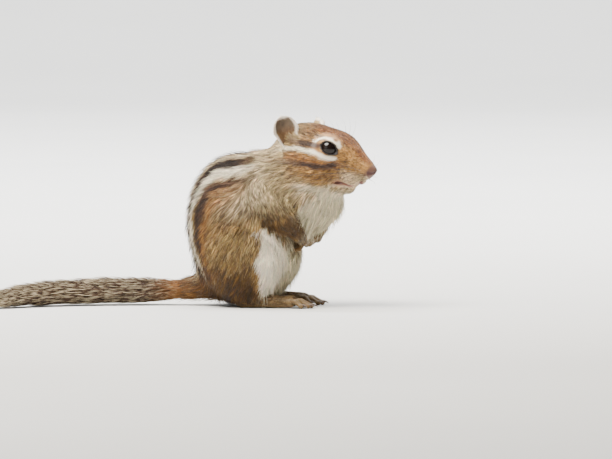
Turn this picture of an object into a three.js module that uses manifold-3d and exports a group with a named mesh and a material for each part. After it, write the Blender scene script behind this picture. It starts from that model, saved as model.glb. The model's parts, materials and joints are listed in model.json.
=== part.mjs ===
// A Siberian chipmunk that sits up on its haunches, life size, in millimetres.
// +X is the way its body faces, +Y is its left, +Z is up, and it sits on the plane Z = 0.
// The body is one field of rounded forms that run together. Each part of the body is that field's surface,
// kept inside the part's own region, so that the parts meet along thin seams.
import * as THREE from "three";
import { mergeVertices } from "three/addons/utils/BufferGeometryUtils.js";
import Module from "manifold-3d";

const wasm = await Module();
wasm.setup();

// Driving sizes
const SEAM = 0.3; // gap between two parts that touch
const RIGHT = -1;
const LEFT = 1;
const HEAD_AT = [19.6, -1.5, 65.2]; // middle of the skull, between the ears
const HEAD_TURN = -15; // degrees about Z: the head looks to the animal's right
const HEAD_NOD = 12; // degrees nose down
const EYE_AT = [10.6, 8.5, 6.3]; // in the head's frame, on the left side
const EYE_RADIUS = 4.1;
const LID_THICKNESS = 0.8;

// Size of the facets on each part
const CELL = { head: 2.9, neck: 5, torso: 6, haunch: 5.2, arm: 4 };

const rad = THREE.MathUtils.degToRad;
const vec = (p) => new THREE.Vector3(...p);
const side = (p, s) => [p[0], p[1] * s, p[2]];

// Fields: each function returns the distance from a point to a form, less than zero inside it

function egg([cx, cy, cz], [rx, ry, rz], tip = 0) {
  const c = Math.cos(rad(tip));
  const s = Math.sin(rad(tip));
  return (x, y, z) => {
    const dx = x - cx;
    const dz = z - cz;
    const ax = (c * dx - s * dz) / rx;
    const ay = (y - cy) / ry;
    const az = (s * dx + c * dz) / rz;
    const near = Math.hypot(ax, ay, az);
    const slope = Math.hypot(ax / rx, ay / ry, az / rz);
    return slope > 1e-9 ? (near * (near - 1)) / slope : -Math.min(rx, ry, rz);
  };
}

function limb(a, b, ra, rb) {
  const ba = [b[0] - a[0], b[1] - a[1], b[2] - a[2]];
  const l2 = ba[0] ** 2 + ba[1] ** 2 + ba[2] ** 2;
  const rr = ra - rb;
  const a2 = l2 - rr * rr;
  return (x, y, z) => {
    const pa = [x - a[0], y - a[1], z - a[2]];
    const along = pa[0] * ba[0] + pa[1] * ba[1] + pa[2] * ba[2];
    const past = along - l2;
    const off = Math.hypot(
      pa[0] * l2 - ba[0] * along,
      pa[1] * l2 - ba[1] * along,
      pa[2] * l2 - ba[2] * along,
    );
    const x2 = off * off;
    const y2 = along * along * l2;
    const z2 = past * past * l2;
    const k = Math.sign(rr) * rr * rr * x2;
    if (Math.sign(past) * a2 * z2 > k) return Math.sqrt(x2 + z2) / l2 - rb;
    if (Math.sign(along) * a2 * y2 < k) return Math.sqrt(x2 + y2) / l2 - ra;
    return (Math.sqrt((x2 * a2) / l2) + along * rr) / l2 - ra;
  };
}

function joined(parts) {
  return (x, y, z) => {
    let d = 1e9;
    for (const [form, blend] of parts) {
      const e = form(x, y, z);
      const h = Math.max(blend - Math.abs(d - e), 0) / blend;
      d = Math.min(d, e) - (h * h * blend) / 4;
    }
    return d;
  };
}

const pair = (form) => (x, y, z) => form(x, Math.abs(y), z);

// The head's own frame: +X out through the nose, +Z out through the crown
const headMatrix = new THREE.Matrix4()
  .makeRotationZ(rad(HEAD_TURN))
  .multiply(new THREE.Matrix4().makeRotationY(rad(HEAD_NOD)))
  .setPosition(vec(HEAD_AT));
const headInverse = headMatrix.clone().invert().elements;

function inHead(form) {
  const m = headInverse;
  return (x, y, z) =>
    form(
      m[0] * x + m[4] * y + m[8] * z + m[12],
      m[1] * x + m[5] * y + m[9] * z + m[13],
      m[2] * x + m[6] * y + m[10] * z + m[14],
    );
}

const headForm = joined([
  [egg([-1.5, 0, 1.8], [16.5, 13.2, 13.2]), 1], // cranium
  [egg([8.8, 0, 3.8], [12.4, 10.6, 9]), 6], // brow
  [limb([12, 0, 3.2], [25.4, 0, 0.3], 9.6, 5.0), 5], // muzzle
  [pair(egg([20.2, 3.6, -3.4], [5.6, 3.8, 4.2], 24)), 3], // whisker pads
  [limb([6, 0, -5.5], [17.8, 0, -8.4], 8.2, 4.0), 4], // lower jaw
  [pair(egg([2, 7.6, -3.6], [11.5, 7.6, 9.4])), 5], // cheeks
  [egg([29.2, 0, 0.7], [1.9, 2.3, 1.7]), 1.5], // nose pad
  [pair(egg(EYE_AT, Array(3).fill(EYE_RADIUS + SEAM + LID_THICKNESS))), 2], // lids
]);

const SHOULDER = [-1, 12, 49];
const ELBOW = { [RIGHT]: [10.2, -15.2, 38.2], [LEFT]: [9, 15.5, 38.4] };
const WRIST = { [RIGHT]: [14.8, -10.2, 31.6], [LEFT]: [20.8, 8.5, 34.4] };

const bodyForm = joined([
  [egg([-12, 0, 16.6], [17.6, 19, 17]), 1], // rump
  [egg([-8.2, 0, 24], [23, 18, 21]), 8], // belly
  [egg([-14.5, 0, 36], [22.6, 19, 22]), 8], // loin
  [egg([-14, 0, 48.5], [19, 16.5, 18.5]), 8], // back
  [egg([0, 0, 47], [17, 17, 18]), 8], // shoulders
  [egg([16, 0, 45.5], [16.8, 13.5, 13.3]), 8], // chest
  [limb([2, 0, 53], [16, -1, 61], 15, 13.5), 8], // neck
  [pair(egg([-9.5, 12.5, 22], [18.3, 11, 20.5])), 4], // haunches
  [limb(side(SHOULDER, RIGHT), ELBOW[RIGHT], 7.5, 5.2), 5],
  [limb(side(SHOULDER, LEFT), ELBOW[LEFT], 7.5, 5.2), 5],
  [inHead(headForm), 6],
]);

// The surface of a field inside a box, as one closed solid. Each grid cell that the surface crosses gets a
// vertex, drawn onto the surface, and each grid edge that it crosses gets a face between four of them.
function netOf(field, low, high, cell, level = 0) {
  const n = low.map((l, i) => Math.ceil((high[i] - l) / cell) + 1);
  const at = (i, j, k) => (k * n[1] + j) * n[0] + i;
  const value = new Float32Array(n[0] * n[1] * n[2]);
  for (let k = 0; k < n[2]; k++)
    for (let j = 0; j < n[1]; j++)
      for (let i = 0; i < n[0]; i++) {
        const rim = i === 0 || j === 0 || k === 0 || i === n[0] - 1 || j === n[1] - 1 || k === n[2] - 1;
        const d = field(low[0] + i * cell, low[1] + j * cell, low[2] + k * cell) - level;
        value[at(i, j, k)] = rim ? Math.max(d, cell / 4) : d;
      }
  const corners = [0, 1, 2, 3, 4, 5, 6, 7].map((c) => [c & 1, (c >> 1) & 1, c >> 2]);
  const vertexOf = new Int32Array(value.length).fill(-1);
  const points = [];
  for (let k = 0; k < n[2] - 1; k++)
    for (let j = 0; j < n[1] - 1; j++)
      for (let i = 0; i < n[0] - 1; i++) {
        const here = corners.map(([a, b, c]) => value[at(i + a, j + b, k + c)]);
        const inside = here.filter((d) => d < 0).length;
        if (inside === 0 || inside === 8) continue;
        const sum = [0, 0, 0];
        let crossed = 0;
        for (let c = 0; c < 8; c++)
          for (const bit of [1, 2, 4]) {
            const d = c | bit;
            if (d === c || here[c] < 0 === here[d] < 0) continue;
            const t = here[c] / (here[c] - here[d]);
            for (let axis = 0; axis < 3; axis++)
              sum[axis] += corners[c][axis] + t * (corners[d][axis] - corners[c][axis]);
            crossed++;
          }
        const base = [i, j, k].map((g, axis) => low[axis] + g * cell);
        const start = sum.map((s, axis) => base[axis] + (s / crossed) * cell);
        vertexOf[at(i, j, k)] = points.length / 3;
        points.push(...drawn(field, start, base, cell, level));
      }
  const faces = [];
  const quad = (a, b, c, d, flip) => {
    const q = flip ? [d, c, b, a] : [a, b, c, d];
    const point = (v) => new THREE.Vector3().fromArray(points, v * 3);
    const short = point(q[0]).distanceTo(point(q[2])) < point(q[1]).distanceTo(point(q[3]));
    faces.push(...(short ? [q[0], q[1], q[2], q[0], q[2], q[3]] : [q[1], q[2], q[3], q[1], q[3], q[0]]));
  };
  for (let k = 0; k < n[2] - 1; k++)
    for (let j = 0; j < n[1] - 1; j++)
      for (let i = 0; i < n[0] - 1; i++) {
        const here = value[at(i, j, k)] < 0;
        const cellAt = (a, b, c) => vertexOf[at(i - a, j - b, k - c)];
        if (j > 0 && k > 0 && here !== value[at(i + 1, j, k)] < 0)
          quad(cellAt(0, 1, 1), cellAt(0, 0, 1), cellAt(0, 0, 0), cellAt(0, 1, 0), !here);
        if (i > 0 && k > 0 && here !== value[at(i, j + 1, k)] < 0)
          quad(cellAt(1, 0, 1), cellAt(1, 0, 0), cellAt(0, 0, 0), cellAt(0, 0, 1), !here);
        if (i > 0 && j > 0 && here !== value[at(i, j, k + 1)] < 0)
          quad(cellAt(1, 1, 0), cellAt(0, 1, 0), cellAt(0, 0, 0), cellAt(1, 0, 0), !here);
      }
  const geometry = new THREE.BufferGeometry();
  geometry.setAttribute("position", new THREE.Float32BufferAttribute(points, 3));
  geometry.setIndex(faces);
  return solidOf(geometry);
}

// A point drawn onto the surface along the field's slope, without leaving its cell
function drawn(field, start, base, cell, level) {
  const step = 0.05;
  const margin = 0.08 * cell;
  let p = start;
  for (let turn = 0; turn < 3; turn++) {
    const d = field(...p) - level;
    const slope = [0, 1, 2].map((axis) => {
      const ahead = p.map((c, i) => c + (i === axis ? step : 0));
      return (field(...ahead) - level - d) / step;
    });
    const steep = slope[0] ** 2 + slope[1] ** 2 + slope[2] ** 2;
    if (steep < 1e-6) break;
    p = p.map((c, i) =>
      THREE.MathUtils.clamp(c - (d * slope[i]) / steep, base[i] + margin, base[i] + cell - margin),
    );
  }
  return p;
}

// Solids from three.js geometry, and back

function solidOf(geometry, matrix) {
  const bare = geometry.clone();
  bare.deleteAttribute("normal");
  bare.deleteAttribute("uv");
  if (matrix) bare.applyMatrix4(matrix);
  const merged = mergeVertices(bare, 1e-4);
  return new wasm.Manifold(
    new wasm.Mesh({
      numProp: 3,
      vertProperties: new Float32Array(merged.attributes.position.array),
      triVerts: new Uint32Array(merged.index.array),
    }),
  );
}

function geometryOf(solid) {
  const mesh = solid.getMesh();
  const geometry = new THREE.BufferGeometry();
  geometry.setAttribute("position", new THREE.BufferAttribute(mesh.vertProperties, 3));
  geometry.setIndex(new THREE.BufferAttribute(mesh.triVerts, 1));
  geometry.computeVertexNormals();
  return geometry;
}

const largest = (solid) => solid.decompose().reduce((a, b) => (a.volume() > b.volume() ? a : b));
const union = (solids) => solids.reduce((a, b) => a.add(b));

function ball(at, radii, detail = 20, matrix = new THREE.Matrix4()) {
  const place = new THREE.Matrix4().makeTranslation(...at).scale(vec(radii));
  return solidOf(new THREE.SphereGeometry(1, detail, Math.round(detail * 0.6)), matrix.clone().multiply(place));
}

// A block whose near face is the plane through a point, and which lies on the side its normal points to
function beyond(point, normal, reach = 400) {
  const turn = new THREE.Quaternion().setFromUnitVectors(new THREE.Vector3(0, 0, 1), vec(normal).normalize());
  const matrix = new THREE.Matrix4().makeRotationFromQuaternion(turn).setPosition(vec(point));
  return solidOf(new THREE.BoxGeometry(reach, reach, reach).translate(0, 0, reach / 2), matrix);
}

const under = beyond([0, 0, 0], [0, 0, -1]); // all that lies below the floor

// A closed tube with rounded ends, through the points and as thick as the radii at each
function tube(points, radii, sides, steps, flat = 1) {
  const curve = new THREE.CatmullRomCurve3(points.map(vec), false, "centripetal");
  const frames = curve.computeFrenetFrames(steps, false);
  const radiusAt = (t) => {
    const f = t * (radii.length - 1);
    const i = Math.min(Math.floor(f), radii.length - 2);
    return THREE.MathUtils.lerp(radii[i], radii[i + 1], f - i);
  };
  const rings = [];
  const ring = (i, offset, share) => {
    const centre = curve.getPoint(i / steps).addScaledVector(frames.tangents[i], offset);
    const r = radiusAt(i / steps) * share;
    rings.push(
      Array.from({ length: sides }, (_, s) => {
        const angle = (2 * Math.PI * s) / sides;
        return centre
          .clone()
          .addScaledVector(frames.normals[i], Math.cos(angle) * r)
          .addScaledVector(frames.binormals[i], Math.sin(angle) * r * flat);
      }),
    );
  };
  ring(0, -0.7 * radiusAt(0), 0.7);
  for (let i = 0; i <= steps; i++) ring(i, 0, 1);
  ring(steps, 0.7 * radiusAt(1), 0.7);
  const first = curve.getPoint(0).addScaledVector(frames.tangents[0], -radiusAt(0));
  const last = curve.getPoint(1).addScaledVector(frames.tangents[steps], radiusAt(1));
  const vertices = [first, ...rings.flat(), last];
  const faces = [];
  const v = (r, s) => 1 + r * sides + (s % sides);
  for (let s = 0; s < sides; s++) {
    faces.push(0, v(0, s + 1), v(0, s), vertices.length - 1, v(rings.length - 1, s), v(rings.length - 1, s + 1));
    for (let r = 0; r < rings.length - 1; r++)
      faces.push(v(r, s), v(r, s + 1), v(r + 1, s + 1), v(r, s), v(r + 1, s + 1), v(r + 1, s));
  }
  const geometry = new THREE.BufferGeometry().setFromPoints(vertices);
  geometry.setIndex(faces);
  const made = solidOf(geometry);
  if (made.volume() < 0) throw new Error("a tube is inside out");
  return made;
}

// Regions that part the body
const headRegion = (grow = 0) =>
  ball([5.5, 0, 0], [27 + grow, 22 + grow, 18.3 + grow], 28, headMatrix);
const neckRegion = (grow = 0) => beyond([3 - grow * 0.55, 0, 59 - grow * 0.835], [0.55, 0, 0.835]);
const haunchRegion = (s, grow = 0) =>
  ball([-9.5, s * 15.2, 20.5], [17.8 + grow, 13.6 + grow, 22 + grow], 22);
const armRegion = (s, grow = 0) =>
  ball([4.5, s * 15.5, 42.5], [11.5 + grow, 8.5 + grow, 11.5 + grow], 16);

const BODY_LOW = [-44, -30, -4];
const BODY_HIGH = [54, 30, 86];

function bodyNet(cell, region, reach) {
  const kept = region ? (x, y, z) => Math.max(bodyForm(x, y, z), region(x, y, z) - reach) : bodyForm;
  return netOf(kept, BODY_LOW, BODY_HIGH, cell);
}

const nearHead = inHead(egg([5.5, 0, 0], [27, 22, 18.3]));
const grownBody = netOf(bodyForm, BODY_LOW, BODY_HIGH, 3.2, 2 * SEAM);

function torso() {
  const cuts = [headRegion(SEAM), neckRegion(SEAM), under];
  for (const s of [RIGHT, LEFT]) cuts.push(haunchRegion(s, SEAM), armRegion(s, SEAM));
  return largest(bodyNet(CELL.torso).subtract(union(cuts)));
}

function neck() {
  const nearNeck = (x, y, z) => 0.55 * (3 - x) + 0.835 * (59 - z);
  const whole = bodyNet(CELL.neck, nearNeck, 4).intersect(neckRegion());
  return largest(whole.subtract(union([headRegion(SEAM), armRegion(RIGHT, SEAM), armRegion(LEFT, SEAM)])));
}

function haunch(s) {
  const near = egg([-9.5, s * 15.2, 20.5], [17.8, 13.6, 22]);
  return largest(bodyNet(CELL.haunch, near, 4).intersect(haunchRegion(s)).subtract(under));
}

function upperArm(s) {
  const near = egg([4.5, s * 15.5, 42.5], [11.5, 8.5, 11.5]);
  const cuts = union([haunchRegion(s, SEAM), headRegion(SEAM)]);
  return largest(bodyNet(CELL.arm, near, 3).intersect(armRegion(s)).subtract(cuts));
}

// The head, with its eye sockets, mouth line and nostrils cut

const eyeOut = (s) => vec([0.42, s * 0.88, 0.22]).normalize();

function eyeOpening(s) {
  const axis = eyeOut(s);
  const tilt = vec([0.96, 0, -0.28]);
  const across = tilt.clone().addScaledVector(axis, -tilt.dot(axis)).normalize();
  const upward = new THREE.Vector3().crossVectors(axis, across).multiplyScalar(s < 0 ? 1 : -1);
  const basis = new THREE.Matrix4().makeBasis(across, axis, upward.clone());
  const flip = basis.determinant() < 0;
  if (flip) basis.makeBasis(across, axis, upward.negate());
  const cone = new THREE.CylinderGeometry(1.75, 0.15, 9, 14).scale(3.5, 1, 2.6).translate(0, 4.2, 0);
  const place = headMatrix.clone().multiply(basis.setPosition(vec(side(EYE_AT, s))));
  return solidOf(cone, place);
}

// A point in the head's frame, drawn onto the skin
function onSkin(p) {
  const q = vec(p).applyMatrix4(headMatrix).toArray();
  const room = q.map((c) => c - 5);
  return vec(drawn(bodyForm, q, room, 10, 0)).applyMatrix4(headMatrix.clone().invert()).toArray();
}

function mouthLine() {
  const route = [
    [15, 7, -8.9],
    [19.2, 5.6, -8.2],
    [23, 3.4, -7.8],
    [25.6, 0.9, -7],
  ];
  const curve = new THREE.CatmullRomCurve3([...route, ...[...route].reverse().map((p) => side(p, RIGHT))].map(vec));
  return solidOfTubeInHead(curve.getPoints(20).map((p) => onSkin(p.toArray())), 0.6);
}

function solidOfTubeInHead(route, radius) {
  const points = route.map((p) => vec(p).applyMatrix4(headMatrix).toArray());
  return tube(points, points.map(() => radius), 5, 20);
}

function head() {
  const whole = bodyNet(CELL.head, nearHead, 3).intersect(headRegion());
  const cuts = [mouthLine(), solidOfTubeInHead([[27.6, 0, -5], [30.4, 0, -2.2], [31.2, 0, -0.4]], 0.35)];
  for (const s of [RIGHT, LEFT]) {
    cuts.push(ball(side(EYE_AT, s), Array(3).fill(EYE_RADIUS + SEAM), 16, headMatrix));
    cuts.push(eyeOpening(s));
    cuts.push(ball([30.2, s * 1.75, 0.1], [1.3, 0.75, 0.7], 10, headMatrix));
  }
  return largest(whole.subtract(union(cuts)));
}

const eye = (s) => ball(side(EYE_AT, s), Array(3).fill(EYE_RADIUS), 14, headMatrix);

// Both ears are turned their own way, as on a listening animal
const EAR_ROOT = { [RIGHT]: [-6.6, -10.6, 3.2], [LEFT]: [-6.6, 10.4, 1.4] };
const EAR_UP = { [RIGHT]: [-0.36, -0.2, 1], [LEFT]: [-0.1, 0.2, 1] };
const EAR_HEIGHT = 14;
const EAR_HALF_WIDTH = { [RIGHT]: 5.7, [LEFT]: 6.2 };

// An ear is a cupped leaf with a thick rolled rim, and stands on the side of the crown
function ear(s) {
  const root = vec(EAR_ROOT[s]);
  const up = vec(EAR_UP[s]).normalize();
  const facing = vec([0.66, s * 0.75, 0.02]).normalize();
  const across = new THREE.Vector3().crossVectors(up, facing).normalize();
  const out = new THREE.Vector3().crossVectors(across, up);
  const height = EAR_HEIGHT;
  const halfWidth = EAR_HALF_WIDTH[s];
  const depth = 3.6;
  const thickness = 1;
  const columns = 8;
  const rows = 7;
  const leaf = (a, t, back) => {
    const round = t < 0.55 ? 0.45 + t : Math.sqrt(Math.max(0, 1 - ((t - 0.55) / 0.45) ** 2));
    const spread = halfWidth * Math.max(round, 0.05);
    const cup = depth * (1 - 0.55 * t) * (1 - a * a);
    const shift = back ? -thickness * (0.35 + 0.65 * (1 - a * a) * (1 - t ** 4)) : 0;
    return root
      .clone()
      .addScaledVector(up, height * t)
      .addScaledVector(across, spread * a)
      .addScaledVector(out, -cup + shift + depth * 0.5);
  };
  const vertices = [];
  for (const back of [false, true])
    for (let r = 0; r <= rows; r++)
      for (let c = 0; c <= columns; c++) vertices.push(leaf((2 * c) / columns - 1, Math.sin((r / rows) * (Math.PI / 2)), back));
  const at = (r, c, back) => (back ? (rows + 1) * (columns + 1) : 0) + r * (columns + 1) + c;
  const faces = [];
  const quad = (a, b, c, d) => faces.push(a, b, c, a, c, d);
  for (let r = 0; r < rows; r++)
    for (let c = 0; c < columns; c++) {
      quad(at(r, c, false), at(r, c + 1, false), at(r + 1, c + 1, false), at(r + 1, c, false));
      quad(at(r, c, true), at(r + 1, c, true), at(r + 1, c + 1, true), at(r, c + 1, true));
    }
  for (let r = 0; r < rows; r++) {
    quad(at(r, 0, true), at(r, 0, false), at(r + 1, 0, false), at(r + 1, 0, true));
    quad(at(r, columns, false), at(r, columns, true), at(r + 1, columns, true), at(r + 1, columns, false));
  }
  for (let c = 0; c < columns; c++) {
    quad(at(0, c, true), at(0, c + 1, true), at(0, c + 1, false), at(0, c, false));
    quad(at(rows, c, false), at(rows, c + 1, false), at(rows, c + 1, true), at(rows, c, true));
  }
  const geometry = new THREE.BufferGeometry().setFromPoints(vertices);
  geometry.setIndex(faces);
  let made = solidOf(geometry, headMatrix);
  if (made.volume() < 0) {
    for (let i = 0; i < faces.length; i += 3) [faces[i], faces[i + 1]] = [faces[i + 1], faces[i]];
    geometry.setIndex(faces);
    made = solidOf(geometry, headMatrix);
  }
  return largest(made.subtract(grownBody));
}

// Forelegs

const KNUCKLES = { [RIGHT]: [16.4, -7, 28.8], [LEFT]: [19.8, 5.4, 29.6] };
const FINGER_TIPS = { [RIGHT]: [13, -4.4, 27.2], [LEFT]: [15.6, 2.2, 27.4] };
const FINGERS = 4;
const FINGER_SPREAD = 1.75;

function forearm(s) {
  const wrist = vec(WRIST[s]);
  const along = wrist.clone().sub(vec(ELBOW[s])).normalize();
  const cut = beyond(wrist.clone().addScaledVector(along, -SEAM / 2).toArray(), along.toArray());
  const end = wrist.clone().addScaledVector(along, 2).toArray();
  const whole = tube([ELBOW[s], WRIST[s], end], [5, 3, 2.8], 12, 8);
  return largest(whole.subtract(cut).subtract(grownBody));
}

function forepaw(s) {
  const wrist = vec(WRIST[s]);
  const knuckles = vec(KNUCKLES[s]);
  const tips = vec(FINGER_TIPS[s]);
  const along = wrist.clone().sub(vec(ELBOW[s])).normalize();
  const down = knuckles.clone().sub(wrist).normalize();
  const across = new THREE.Vector3().crossVectors(down, tips.clone().sub(knuckles)).normalize();
  const pieces = [tube([wrist.toArray(), knuckles.toArray()], [2.7, 2.5], 10, 3)];
  for (let i = 0; i < FINGERS; i++) {
    const share = i - (FINGERS - 1) / 2;
    const middle = 1 - 0.1 * Math.abs(share);
    const base = knuckles.clone().addScaledVector(across, share * FINGER_SPREAD * 0.75);
    const bend = tips.clone().lerp(knuckles, 0.5).addScaledVector(across, share * FINGER_SPREAD * 1.05);
    bend.addScaledVector(down, 0.9);
    const tip = knuckles.clone().lerp(tips, middle).addScaledVector(across, share * FINGER_SPREAD * 1.2);
    pieces.push(tube([base, bend, tip].map((p) => p.toArray()), [1.25, 1.05, 0.9], 6, 3));
    const point = tip.clone().add(tip.clone().sub(bend).setLength(1.9)).addScaledVector(down, -0.5);
    pieces.push(tube([bend.clone().lerp(tip, 0.7), tip, point].map((p) => p.toArray()), [0.4, 0.6, 0.12], 4, 2));
  }
  const cut = beyond(wrist.clone().addScaledVector(along, SEAM / 2).toArray(), along.clone().negate().toArray());
  const arm = tube([ELBOW[s], WRIST[s]], [5.3, 3.3], 12, 3);
  return largest(union(pieces).subtract(grownBody).subtract(cut.intersect(arm)));
}

// Hind feet: a flat sole with five toes, each with its claw

const HEEL = [-9, 13.5, 3.1];
const TOE_BASE = [12.2, 12.2, 2.9];
const TOE_LENGTHS = [5.6, 8.6, 9.6, 8.8, 6.2];
const TOE_SPREAD = 1.9;

function hindFoot(s) {
  const heel = vec(side(HEEL, s));
  const base = vec(side(TOE_BASE, s));
  const ahead = base.clone().sub(heel).setZ(0).normalize();
  const across = new THREE.Vector3(-ahead.y, ahead.x, 0).multiplyScalar(s);
  const pieces = [
    tube([heel.toArray(), base.toArray()], [3.4, 3.1], 10, 4),
    tube([base.clone().addScaledVector(across, -2.2).toArray(), heel.toArray()], [2.3, 2.6], 7, 3),
    tube([base.clone().addScaledVector(across, 2.2).toArray(), heel.toArray()], [2.3, 2.6], 7, 3),
  ];
  TOE_LENGTHS.forEach((length, i) => {
    const share = i - 2;
    const start = base.clone().addScaledVector(across, share * TOE_SPREAD * 0.75).addScaledVector(ahead, -1);
    const way = ahead.clone().addScaledVector(across, share * 0.12).normalize();
    const bend = start.clone().addScaledVector(way, length * 0.55).setZ(3.2).addScaledVector(across, share * 0.25);
    const tip = start.clone().addScaledVector(way, length).setZ(1.05).addScaledVector(across, share * 0.35);
    pieces.push(tube([start, bend, tip].map((p) => p.toArray()), [1.7, 1.45, 1.2], 7, 3));
    const over = tip.clone().addScaledVector(way, 1.6).setZ(1.5);
    const point = tip.clone().addScaledVector(way, 3.2).setZ(0.4);
    const root = tip.clone().addScaledVector(way, -0.6);
    pieces.push(tube([root, over, point].map((p) => p.toArray()), [0.7, 0.6, 0.12], 4, 2));
  });
  return largest(union(pieces).subtract(grownBody).subtract(under));
}

// The tail lies on the floor behind the animal and swings to its right

const TAIL_ROUTE = [
  [-24, 0, 10],
  [-34, 0, 7.4],
  [-50, -2, 5.6],
  [-69, -7.5, 5],
  [-87, -16.5, 4.6],
  [-100, -28, 4.2],
  [-108, -38, 3.6],
];
const TAIL_BARE = 0.155; // share of the tail, from its root, without long hair
const CORE_RADII = [5.2, 4.8, 4.6, 4.2, 3.4, 2.2]; // the tail's bone and its short hair
const LOCK_RINGS = 9;
const LOCKS_AROUND = 7;
const LOCK_LENGTH = 17;
const LOCK_WIDTH = 6.4;
const LOCK_THICKNESS = 2.2;
const LOCK_DEPTH = 2.2; // how far from the tail's middle a lock has its root
const LOCK_LIFT = 0.52; // how far a lock leans out for each step along the tail

const tailCurve = new THREE.CatmullRomCurve3(TAIL_ROUTE.map(vec), false, "centripetal");

function tailAt(t) {
  const along = tailCurve.getTangentAt(t);
  const across = new THREE.Vector3(0, 0, 1).cross(along).normalize();
  return { centre: tailCurve.getPointAt(t), along, across, up: along.clone().cross(across).normalize() };
}

function tailPiece(from, to, radii, sides, steps) {
  const points = Array.from({ length: steps + 1 }, (_, i) =>
    tailCurve.getPointAt(THREE.MathUtils.lerp(from, to, i / steps)).toArray(),
  );
  return tube(points, radii, sides, steps);
}

function tailSeam(t, way, gap) {
  const { centre, along } = tailAt(t);
  return beyond(centre.clone().addScaledVector(along, gap).toArray(), along.multiplyScalar(way).toArray());
}

function tailRoot() {
  const whole = tailPiece(0, TAIL_BARE + 0.03, [8.2, 6.4, 5.2], 14, 6);
  return largest(whole.subtract(grownBody).subtract(tailSeam(TAIL_BARE, 1, -SEAM / 2)).subtract(under));
}

// A flat, tapered lock of hair, which leaves its root along the way it lies and bends back towards the tail
function lock(root, way, bend, length, width, thickness) {
  const shares = [0, 0.32, 0.66, 0.88];
  const widths = [0.75, 1, 0.72, 0.36];
  const tip = root.clone().addScaledVector(way, length).addScaledVector(bend, length * 0.3);
  const sections = shares.map((t, i) => {
    const centre = root.clone().addScaledVector(way, length * t).addScaledVector(bend, length * 0.3 * t * t);
    const ahead = way.clone().addScaledVector(bend, 0.6 * t).normalize();
    const flat = new THREE.Vector3().crossVectors(ahead, bend).normalize();
    const thick = new THREE.Vector3().crossVectors(flat, ahead).normalize();
    const w = (width * widths[i]) / 2;
    const h = (thickness * (1 - 0.6 * t)) / 2;
    return [
      centre.clone().addScaledVector(flat, w),
      centre.clone().addScaledVector(thick, h),
      centre.clone().addScaledVector(flat, -w),
      centre.clone().addScaledVector(thick, -h),
    ];
  });
  const vertices = [...sections.flat(), tip];
  const faces = [0, 2, 1, 0, 3, 2];
  for (let i = 0; i < 4; i++) {
    const j = (i + 1) % 4;
    for (let r = 0; r < sections.length - 1; r++) {
      const a = r * 4;
      faces.push(a + i, a + j, a + 4 + j, a + i, a + 4 + j, a + 4 + i);
    }
    faces.push(12 + i, 12 + j, 16);
  }
  const geometry = new THREE.BufferGeometry().setFromPoints(vertices);
  geometry.setIndex(faces);
  const made = solidOf(geometry);
  if (made.volume() > 0) return made;
  for (let i = 0; i < faces.length; i += 3) [faces[i], faces[i + 1]] = [faces[i + 1], faces[i]];
  geometry.setIndex(faces);
  return solidOf(geometry);
}

// Evenly spread draws that are the same on every run
function draws(seed) {
  let state = seed;
  return () => {
    state = (state * 1664525 + 1013904223) % 4294967296;
    return state / 4294967296;
  };
}

// The long hair of the tail: a core about the bone, and rings of locks whose roots are inside it
function tailBrush() {
  const draw = draws(7);
  const pieces = [tailPiece(TAIL_BARE - 0.03, 0.97, CORE_RADII, 10, 12)];
  for (let r = 0; r < LOCK_RINGS; r++) {
    const share = r / (LOCK_RINGS - 1);
    const t = THREE.MathUtils.lerp(TAIL_BARE + 0.015, 0.975, share);
    const { centre, along, across, up } = tailAt(t);
    const fullness = Math.min(1, 0.62 + 1.08 * share) * (1 - 0.25 * share ** 3);
    for (let i = 0; i < LOCKS_AROUND; i++) {
      const angle = (2 * Math.PI * (i + (r % 2) / 2 + 0.25 * (draw() - 0.5))) / LOCKS_AROUND;
      const outward = across.clone().multiplyScalar(Math.cos(angle)).addScaledVector(up, Math.sin(angle));
      const low = Math.max(0, -Math.sin(angle));
      const high = Math.max(0, Math.sin(angle));
      const lift = LOCK_LIFT * (1 - 0.75 * low) * (1 - 0.3 * high) * (0.85 + 0.3 * draw());
      const way = along.clone().addScaledVector(outward, lift).normalize();
      const root = centre.clone().addScaledVector(outward, LOCK_DEPTH * (1 - 0.35 * low));
      const length = LOCK_LENGTH * fullness * (0.88 + 0.24 * draw());
      const bend = outward.clone().multiplyScalar(-0.45 * lift);
      pieces.push(lock(root, way, bend, length, LOCK_WIDTH * (1 - 0.3 * share), LOCK_THICKNESS));
    }
  }
  return largest(union(pieces).subtract(tailSeam(TAIL_BARE, -1, SEAM / 2)).subtract(under));
}

// Looks and names

const finishes = {
  agouti: new THREE.MeshStandardMaterial({ color: 0x9a7a55, roughness: 0.85 }),
  rust: new THREE.MeshStandardMaterial({ color: 0x96663c, roughness: 0.85 }),
  grizzle: new THREE.MeshStandardMaterial({ color: 0x77716a, roughness: 0.9 }),
  earSkin: new THREE.MeshStandardMaterial({ color: 0x8b6a52, roughness: 0.8 }),
  footSkin: new THREE.MeshStandardMaterial({ color: 0xa88a78, roughness: 0.8 }),
  eyeball: new THREE.MeshStandardMaterial({ color: 0x0b0907, roughness: 0.08 }),
};

const chipmunk = new THREE.Group();

function add(name, solid, finish) {
  const mesh = new THREE.Mesh(geometryOf(solid), finishes[finish]);
  mesh.name = name;
  chipmunk.add(mesh);
}

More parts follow.
